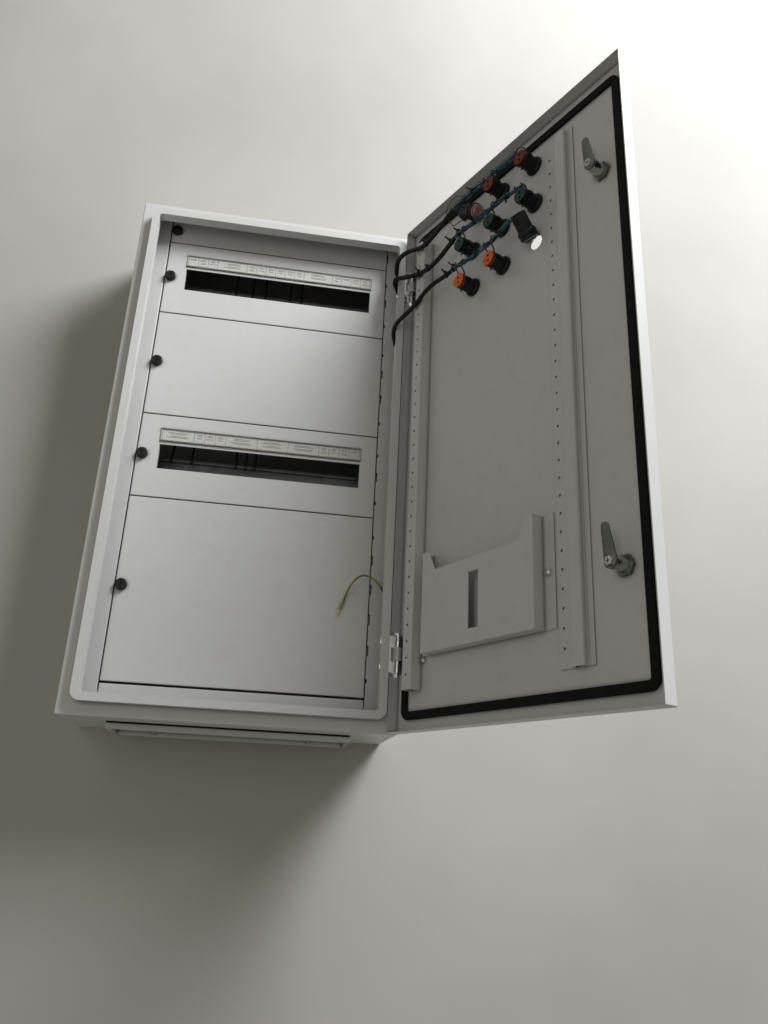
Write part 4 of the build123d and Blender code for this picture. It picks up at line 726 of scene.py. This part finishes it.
def bundle_wires(row, line, chance):
    """Loose wires that wander round the middle of a bundle."""
    wires = []
    frames = frames_along(line)
    for k in range(BUNDLE_WIRES):
        phase = 2 * math.pi * k / BUNDLE_WIRES + chance.uniform(-BUNDLE_PHASE, BUNDLE_PHASE)
        twist, sway = chance.uniform(*BUNDLE_TWISTS), chance.uniform(*BUNDLE_SWAYS)
        shifted = []
        for point, (side, up), along in zip(line, frames, distances(line)):
            turn = phase + 2 * math.pi * along / twist
            wander = BUNDLE_WANDER * math.sin(2 * math.pi * along / sway + phase)
            reach = BUNDLE_REACH * (BUNDLE_MEAN + wander)
            shifted.append(point + (side * math.cos(turn) + up * math.sin(turn)) * reach)
        finish = "blue" if k % DARK_WIRE_EVERY else "dark_blue"
        wires.append(tube(f"lamp_wire_{row}_{k}", shifted, finish, WIRE_RADIUS, WIRE_SIDES))
    return wires


def drop_wires(row, column, bundle, chance):
    """Two wires that arch from a bundle and come down to the clamp at a lamp's upper side."""
    lamp_u, lamp_top = LAMP_COLUMNS[column], LAMP_ROWS[row] + LAMP_RADIUS
    wires = []
    for k, side in enumerate((-1, 1)):
        rise = chance.uniform(*DROP_RISES)
        foot = lamp_u + side * CLAMP_ASIDE
        start = min(bundle, key=lambda place: abs(place[0] - lamp_u - side * DROP_START))
        across, up, out = start
        arch = [(across + (foot - across) * share, up + rise * lift, out - proud)
                for share, lift, proud in DROP_ARCH]
        points = [
            start, *arch,
            (foot + side * HALFWAY_ASIDE, (up + lamp_top) / 2, out - HALFWAY_OUT),
            (foot + side * NECK_ASIDE, lamp_top + NECK_ABOVE, CLAMP_OUT - NECK_OUT),
            (foot, lamp_top - FOOT_SUNK, CLAMP_OUT),
        ]
        line = smooth_line([on_door(*point) for point in points], DROP_STEPS)
        wires.append(tube(f"drop_wire_{row}_{column}_{k}", line, "dark_blue", WIRE_RADIUS, WIRE_SIDES))
    return wires


def between(places):
    """Route places in the door's own measures, filled in between."""
    filled = []
    for a, b in zip(places, places[1:]):
        for i in range(ROUTE_STEPS):
            filled.append(tuple(p + (q - p) * i / ROUTE_STEPS for p, q in zip(a, b)))
    return filled


# The thin wire that loops from the upper bundle to the upper loose lamp, below the cabinet's rim
LOOSE_WIRE = [
    (0.1834, 0.8623, -0.0125), (0.170, 0.873, -0.013), (0.1533, 0.8795, -0.011), (0.137, 0.881, -0.007),
    (0.1245, 0.8765, -0.003), (0.1220, 0.8660, 0.001), (0.126, 0.854, 0.0035), (0.1370, 0.839, 0.003),
    (0.1480, 0.8300, -0.003), (0.1617, 0.8245, -0.006), (0.1700, 0.8270, -0.004), (0.1720, 0.8330, 0.001),
]
LOOSE_WIRE_RADIUS = 0.0008


def lamp_wiring():
    """Bundles, drop wires and the loose wire, in one piece."""
    chance = random.Random(5)
    wires = []
    for row, route in enumerate(LAMP_WIRE_ROUTES):
        line = smooth_line([on_door(*place) for place in route])
        wires.extend(bundle_wires(row, line, chance))
        for column in WIRED_LAMPS[row]:
            wires.extend(drop_wires(row, column, between(route), chance))
    line = smooth_line([on_door(*place) for place in LOOSE_WIRE])
    wires.append(tube("loose_wire", line, "wire", LOOSE_WIRE_RADIUS, WIRE_SIDES))
    wiring = joined("lamp_wiring", wires)
    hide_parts("pilot_wiring")
    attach(wiring, "door")


lamp_wiring()

# Cable ties: a band, a head given by its half sizes, and a cut tail
TIE_WIDTH = 0.0028
TIE_THICKNESS = 0.0011
TIE_GAP = 0.0001
TIE_HEAD = (0.0027, 0.0021, 0.0019)
TIE_HEAD_EDGE = 0.0004
TIE_SIDES = 28
TAIL_STEPS = 8


def band(name, centre, along, out, radius, finish):
    """A flat ring about an axis."""
    side = along.cross(out).normalized()
    vertices, faces = [], []
    inner = radius + TIE_GAP
    corners = [(inner, -TIE_WIDTH / 2), (inner + TIE_THICKNESS, -TIE_WIDTH / 2),
               (inner + TIE_THICKNESS, TIE_WIDTH / 2), (inner, TIE_WIDTH / 2)]
    for k in range(TIE_SIDES):
        angle = 2 * math.pi * k / TIE_SIDES
        spoke = out * math.cos(angle) + side * math.sin(angle)
        vertices.extend(centre + spoke * reach + along * shift for reach, shift in corners)
    for k in range(TIE_SIDES):
        here, there = 4 * k, 4 * ((k + 1) % TIE_SIDES)
        for c in range(4):
            d = (c + 1) % 4
            faces.append((here + c, here + d, there + d, there + c))
    return add_mesh(name, vertices, faces, finish, smooth=False)


def tie_tail(name, centre, along, out, radius, length, lean):
    """A strip that leaves the head and bends back."""
    side = along.cross(out).normalized()
    start = centre + out * (radius + TIE_GAP + TIE_HEAD[2])
    vertices, faces = [], []
    for i in range(TAIL_STEPS + 1):
        share = i / TAIL_STEPS
        angle = lean * share
        middle = start + side * length * share * math.cos(angle) + out * length * share * math.sin(angle)
        lift = out * math.cos(angle) - side * math.sin(angle)
        for reach, shift in ((-1, -1), (1, -1), (1, 1), (-1, 1)):
            vertices.append(middle + lift * reach * TIE_THICKNESS / 2 + along * shift * TIE_WIDTH / 2)
    for i in range(TAIL_STEPS):
        here, there = 4 * i, 4 * (i + 1)
        for c in range(4):
            d = (c + 1) % 4
            faces.append((here + d, here + c, there + c, there + d))
    last = 4 * TAIL_STEPS
    faces.append((0, 1, 2, 3))
    faces.append((last + 3, last + 2, last + 1, last))
    return add_mesh(name, vertices, faces, "black", smooth=False)


def cable_tie(name, line, place, radius, turn, tail, lean):
    """A tie round a line at the point nearest to a place; turn sets where its head sits."""
    index = min(range(1, len(line) - 1), key=lambda i: (line[i] - place).length)
    centre = line[index]
    along = (line[index + 1] - line[index - 1]).normalized()
    away = door_way(0, 0, -1)
    away = (away - along * away.dot(along)).normalized()
    out = Quaternion(along, turn) @ away
    side = along.cross(out).normalized()
    head_centre = centre + out * (radius + TIE_GAP + TIE_HEAD[2])
    head = boxes(name + "_head", [(head_centre, (side, along, out), TIE_HEAD)], "black")
    soften(head, TIE_HEAD_EDGE)
    return [band(name + "_band", centre, along, out, radius, "black"), head,
            tie_tail(name + "_tail", centre, along, out, radius, tail, lean)]


# Ties by cable: place on the door, where the head sits, length of the tail and how it leans
LOOM_TIES = {
    "loom_upper": [((0.0705, 0.8395), -0.9, 0.006, 0.9)],
    "loom_middle": [((0.052, 0.788), -1.2, 0.008, 0.9), ((0.079, 0.7815), -1.0, 0.004, 0.6),
                    ((0.143, 0.7985), -1.2, 0.010, 0.8)],
    "loom_lower": [((0.1275, 0.741), -1.1, 0.009, 0.8)],
}
WIRE_TIES = [(0, (0.200, 0.862), -0.8, 0.010, 0.5), (0, (0.262, 0.862), 0.9, 0.008, 0.8),
             (1, (0.163, 0.802), -1.2, 0.009, 0.6), (1, (0.205, 0.798), -0.6, 0.012, 0.7),
             (1, (0.283, 0.797), 1.0, 0.008, 0.5), (2, (0.149, 0.741), -1.2, 0.010, 0.6),
             (2, (0.210, 0.732), -0.9, 0.012, 0.8), (2, (0.268, 0.735), 0.8, 0.007, 0.5)]
BUNDLE_TIE_RADIUS = 0.0039
LOOM_TIE_OUT = -0.005
BUNDLE_TIE_OUT = -0.008
TIE_LINE_STEPS = 30


def cable_ties():
    """All the ties, in one piece."""
    pieces = []
    for loom, ties in LOOM_TIES.items():
        line = smooth_line(LOOM_ROUTES[loom], TIE_LINE_STEPS)
        for k, (place, turn, tail, lean) in enumerate(ties):
            pieces.extend(cable_tie(f"{loom}_tie_{k}", line, on_door(*place, LOOM_TIE_OUT),
                                    LOOM_SIZES[loom] / 2, turn, tail, lean))
    for k, (row, place, turn, tail, lean) in enumerate(WIRE_TIES):
        line = smooth_line([on_door(*point) for point in LAMP_WIRE_ROUTES[row]], TIE_LINE_STEPS)
        pieces.extend(cable_tie(f"wire_tie_{k}", line, on_door(*place, BUNDLE_TIE_OUT),
                                BUNDLE_TIE_RADIUS, turn, tail, lean))
    ties = joined("cable_ties_cut", pieces)
    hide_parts("cable_ties")
    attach(ties, "door")


cable_ties()

# Inside the cabinet: the wires between the rails, seen through the breaker slots
INNER_WIRE_RADIUS = 0.002
INNER_WIRE_SIDES = 12
INNER_WIRE_SWAY = 0.0008
INNER_WIRES = ((0.176, 0.102), (0.206, 0.135), (0.230, 0.210), (0.277, 0.227), (0.297, 0.243))
STUB_WIRES = (0.152, 0.179)
INNER_OUT = -0.076
INNER_LEVELS = (0.852, 0.742, 0.612, 0.492, 0.438)
STUB_LEVELS = (0.416, 0.389, 0.362)
STUB_BENDS = (0.0, 0.0006, 0.0)


def inner_wiring():
    """The long wires from rail to rail and the two cut ones below."""
    chance = random.Random(9)
    wires = []
    for k, (upper, lower) in enumerate(INNER_WIRES):
        across = (upper, upper, (upper + lower) / 2, lower, lower)
        line = smooth_line([bench(x + chance.uniform(-INNER_WIRE_SWAY, INNER_WIRE_SWAY), y, INNER_OUT)
                            for x, y in zip(across, INNER_LEVELS)])
        wires.append(tube(f"inner_wire_{k}", line, "wire", INNER_WIRE_RADIUS, INNER_WIRE_SIDES))
    for k, x in enumerate(STUB_WIRES):
        line = smooth_line([bench(x + bend, y, INNER_OUT) for y, bend in zip(STUB_LEVELS, STUB_BENDS)])
        wires.append(tube(f"stub_wire_{k}", line, "wire", INNER_WIRE_RADIUS, INNER_WIRE_SIDES))
    wiring = joined("inner_wiring", wires)
    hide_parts("inner_wires")
    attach(wiring, "cabinet")


inner_wiring()

# Label strips: cells as wide as the breakers, each with a few short bars in place of words
MODULE = 0.0175
LABEL_CELLS = {
    "upper": (1, 1, 1, 3, 1, 1, 1, 1, 1, 1, 3, 1, 1, 1, 1),
    "lower": (3, 1, 1, 1, 3, 3, 3, 1, 1, 1, 1),
}
LABEL_BODIES = {"upper": "cover_leaf_1", "lower": "cover_leaf_3"}
CELL_LINE = 0.0006
CELL_MARGIN = 0.0008
BAR_HEIGHT = 0.0008
BAR_LEVELS = (0.0052, 0.0030, -0.0012, -0.0034)
# The counts of bars that a narrow cell may have; a bar's half length and its shift from the
# middle are shares of its cell's width
BAR_COUNTS = (2, 3, 4)
BAR_HALF_LENGTHS = (0.20, 0.34)
BAR_SHIFT = 0.05
PRINT_HALF = 0.00003


def label_print(side, chance):
    """The lines between a strip's cells and the bars in them."""
    low, high = (Vector(corner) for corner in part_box(f"label_strip_{side}"))
    front, middle = low.y - PRINT_HALF, (low.z + high.z) / 2
    axes = (Vector((1, 0, 0)), Vector((0, 0, 1)), Vector((0, -1, 0)))
    left = (low.x + high.x) / 2 - MODULE * sum(LABEL_CELLS[side]) / 2
    half_height = (high.z - low.z) / 2 - CELL_MARGIN
    marks = []
    for edge in (-1, 1):
        centre = Vector(((low.x + high.x) / 2, front, middle + edge * half_height))
        marks.append((centre, axes, (MODULE * sum(LABEL_CELLS[side]) / 2, CELL_LINE / 2, PRINT_HALF)))
    for cells in LABEL_CELLS[side]:
        width = cells * MODULE
        marks.append((Vector((left, front, middle)), axes, (CELL_LINE / 2, half_height, PRINT_HALF)))
        count = len(BAR_LEVELS) if cells > 1 else chance.choice(BAR_COUNTS)
        for level in BAR_LEVELS[:count]:
            half = chance.uniform(*BAR_HALF_LENGTHS) * width
            shift = chance.uniform(-BAR_SHIFT, BAR_SHIFT) * width
            centre = Vector((left + width / 2 + shift, front, middle + level))
            marks.append((centre, axes, (half, BAR_HEIGHT / 2, PRINT_HALF)))
        left += width
    marks.append((Vector((left, front, middle)), axes, (CELL_LINE / 2, half_height, PRINT_HALF)))
    marks_piece = boxes(f"label_marks_{side}", marks, "print")
    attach(marks_piece, LABEL_BODIES[side])


label_chance = random.Random(3)
for side in LABEL_CELLS:
    label_print(side, label_chance)

# Small parts of locks and lamps: black crosses as painted shade in the cams' screws, the screws in the
# terminals with painted shade of their recess, the tails at the wire clamps and the pale rings of the loose
# lamps
DOOR_INNER = 0.0215
LAMP_BACK_REACH = 0.0275
TERMINAL_HEIGHT = 0.006
TERMINAL_FRONT = DOOR_INNER - LAMP_BACK_REACH - TERMINAL_HEIGHT
SCREW_APART = 0.009
SCREW_SUNK = 0.0022
SCREW_RADIUS = 0.0019
SCREW_HEIGHT = 0.0008
RING_RADIUS = 0.0108
RING_SHIFT = -0.001
DISC_SIDES = 18
FACE_TOLERANCE = 0.0002
# Half sizes of one bar of the black cross, painted shade of the cross recess in a cam's screw
CROSS_SHADE_HALF = (0.0034, 0.00055, 0.00004)
# A tail's points: how far aside of the lamp's middle, above the lamp's lower side, and outward
CLAMP_TAIL = ((-0.002, 0.001, 0.0), (-0.003, -0.002, -0.0005), (-0.0045, -0.0045, -0.001))
CLAMP_TAIL_RADIUS = 0.0013
CLAMP_TAIL_STEPS = 6


def disc(name, centre, axes, radius, height, finish):
    """A flat disc that stands on its centre; its axes are across, up and out."""
    across, up, out = axes
    vertices, faces = [], []
    for level in (0.0, height):
        for k in range(DISC_SIDES):
            angle = 2 * math.pi * k / DISC_SIDES
            spoke = across * math.cos(angle) + up * math.sin(angle)
            vertices.append(centre + out * level + spoke * radius)
    faces.append(tuple(reversed(range(DISC_SIDES))))
    faces.append(tuple(range(DISC_SIDES, 2 * DISC_SIDES)))
    for k in range(DISC_SIDES):
        following = (k + 1) % DISC_SIDES
        faces.append((k, following, DISC_SIDES + following, DISC_SIDES + k))
    return add_mesh(name, vertices, faces, finish, smooth=False)


def front_of(node, way):
    """The middle of a node's foremost face in a direction."""
    places = [vertex.co for vertex in frame["nodes"][node].data.vertices]
    reach = max(place.dot(way) for place in places) - FACE_TOLERANCE
    front = [place for place in places if place.dot(way) > reach]
    return sum(front, Vector()) / len(front)


def cam_screw_cross_shade():
    """A black cross on the head of each cam's screw: painted shade of its cross recess."""
    across, up, out = door_way(1, 0, 0), door_way(0, 1, 0), door_way(0, 0, -1)
    for side in ("upper", "lower"):
        centre = front_of(f"cam_screw_{side}", out)
        painted_cross = boxes(f"cam_screw_cross_shade_{side}", [(centre, (across, up, out), CROSS_SHADE_HALF),
                                                  (centre, (up, -across, out), CROSS_SHADE_HALF)], "black")
        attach(painted_cross, f"lock_{side}")


cam_screw_cross_shade()


def lamp_details():
    """Terminal screws, clamp tails and the loose lamps' rings."""
    axes = (door_way(1, 0, 0), door_way(0, 1, 0), door_way(0, 0, -1))
    screws, tails = [], []
    for row, columns in enumerate(WIRED_LAMPS):
        for column in columns:
            u, up = LAMP_COLUMNS[column], LAMP_ROWS[row]
            for side in (-1, 1):
                # Screw heads darkened with painted shade of their recess.
                centre = on_door(u, up + side * SCREW_APART / 2, TERMINAL_FRONT + SCREW_SUNK + SCREW_HEIGHT)
                screws.append(disc(f"screw_{row}_{column}_{side}", centre, axes, SCREW_RADIUS,
                                   SCREW_HEIGHT, "recess_shaded_zinc"))
            line = smooth_line([on_door(u + aside, up - LAMP_RADIUS + above, CLAMP_OUT + outward)
                                for aside, above, outward in CLAMP_TAIL], CLAMP_TAIL_STEPS)
            tails.append(tube(f"tail_{row}_{column}", line, "wire", CLAMP_TAIL_RADIUS, WIRE_SIDES))
    rings = []
    for k, (cap, lens) in enumerate(((LOOSE_RED_CAP, LOOSE_RED_LENS), (LOOSE_ORANGE_CAP, LOOSE_ORANGE_LENS))):
        along = (lens - cap).normalized()
        rings.append(band(f"ring_{k}", lens + along * RING_SHIFT, along, along.orthogonal().normalized(),
                          RING_RADIUS, "ring"))
    rings = joined("lens_rings", rings)
    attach(rings, "door")
    screws = joined("terminal_screws", screws)
    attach(screws, "door")
    tails = joined("clamp_tails", tails)
    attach(tails, "door")


lamp_details()

# The panel has its back on a plain pale surface. It is open behind the cabinet, so that the back
# is lit too, and it shows from the front only.
STAGE_GAP = 0.0006
STAGE_HALF = 6.0
STAGE_LAP = 0.001


def backdrop():
    """The pale surface, with its opening."""
    surface = Finish("pale_floor", colour(186, 183, 177), 0.9)
    surface.paint(surface.mottled(1.6, 4.0, colour(179, 176, 170), colour(192, 189, 183)))
    geometry = surface.node("NewGeometry")
    clear = surface.node("BsdfTransparent")
    choice = surface.node("MixShader")
    surface.links.new(geometry.outputs["Backfacing"], choice.inputs[0])
    surface.links.new(surface.shader.outputs[0], choice.inputs[1])
    surface.links.new(clear.outputs[0], choice.inputs[2])
    surface.links.new(choice.outputs[0], surface.nodes["Material Output"].inputs["Surface"])
    FINISHES["backdrop"] = surface.material
    corners = []
    opening = (WIDTH / 2 - STAGE_LAP, HEIGHT / 2 - STAGE_LAP)
    for half_width, half_height in ((STAGE_HALF, STAGE_HALF), opening):
        corners.extend((x * half_width, STAGE_GAP, z * half_height)
                       for x, z in ((-1, -1), (1, -1), (1, 1), (-1, 1)))
    faces = [(k, (k + 1) % 4, 4 + (k + 1) % 4, 4 + k) for k in range(4)]
    add_mesh("backdrop", corners, faces, "backdrop", smooth=False)


# Lights: place, target, width and height, watts and tint
LIGHTS = {
    "key_light": ((1.70, -1.70, 2.0), (0.0, -0.15, 0.0), (1.35, 1.35), 130, (0.95, 0.972, 1.0)),
    "strip_light": ((-1.2, -2.3, 0.1), (0.2, -0.2, 0.0), (0.22, 1.5), 4, (1.0, 0.98, 0.95)),
    "back_light": ((-1.0, 2.4, 1.3), (0.0, 0.0, 0.0), (1.5, 1.5), 62, (1.0, 0.99, 0.97)),
}


def area_light(name, place, target, size, power, tint):
    """A soft light that looks at a target."""
    data = bpy.data.lights.new(name, "AREA")
    data.shape = "RECTANGLE"
    data.size, data.size_y = size
    data.energy = power
    data.color = tint
    lamp = bpy.data.objects.new(name, data)
    lamp.location = place
    lamp.rotation_euler = (Vector(target) - Vector(place)).to_track_quat("-Z", "Y").to_euler()
    bpy.context.scene.collection.objects.link(lamp)


# The sky's strength as a light, and as it is seen directly and in reflections
SKY_LIGHT = 0.19
SKY_SEEN = 0.55
SKY_TINT = (1.0, 0.955, 0.885, 1)


def world_light():
    """An even sky."""
    world = bpy.data.worlds.new("soft_sky")
    world.use_nodes = True
    nodes, links = world.node_tree.nodes, world.node_tree.links
    background = nodes["Background"]
    background.inputs["Color"].default_value = SKY_TINT
    path = nodes.new("ShaderNodeLightPath")
    seen = path.outputs["Is Camera Ray"]
    for kind in ("Is Glossy Ray", "Is Transmission Ray"):
        either = nodes.new("ShaderNodeMath")
        either.operation = "MAXIMUM"
        links.new(seen, either.inputs[0])
        links.new(path.outputs[kind], either.inputs[1])
        seen = either.outputs[0]
    strength = nodes.new("ShaderNodeMath")
    strength.operation = "MULTIPLY_ADD"
    links.new(seen, strength.inputs[0])
    strength.inputs[1].default_value = SKY_SEEN - SKY_LIGHT
    strength.inputs[2].default_value = SKY_LIGHT
    links.new(strength.outputs[0], background.inputs["Strength"])
    bpy.context.scene.world = world


backdrop()
world_light()
for name, settings in LIGHTS.items():
    area_light(name, *settings)

camera_data = bpy.data.cameras.new("photo_camera")
camera_data.lens = LENS_MM
camera_data.sensor_width = SENSOR_MM
camera = bpy.data.objects.new("photo_camera", camera_data)
axes = Matrix((CAMERA_RIGHT, CAMERA_UP, CAMERA_BACK)).transposed()
camera.matrix_world = Matrix.Translation(CAMERA_PLACE) @ axes.to_quaternion().to_matrix().to_4x4()
bpy.context.scene.collection.objects.link(camera)
bpy.context.scene.camera = camera
bpy.context.scene.view_settings.view_transform = "Standard"
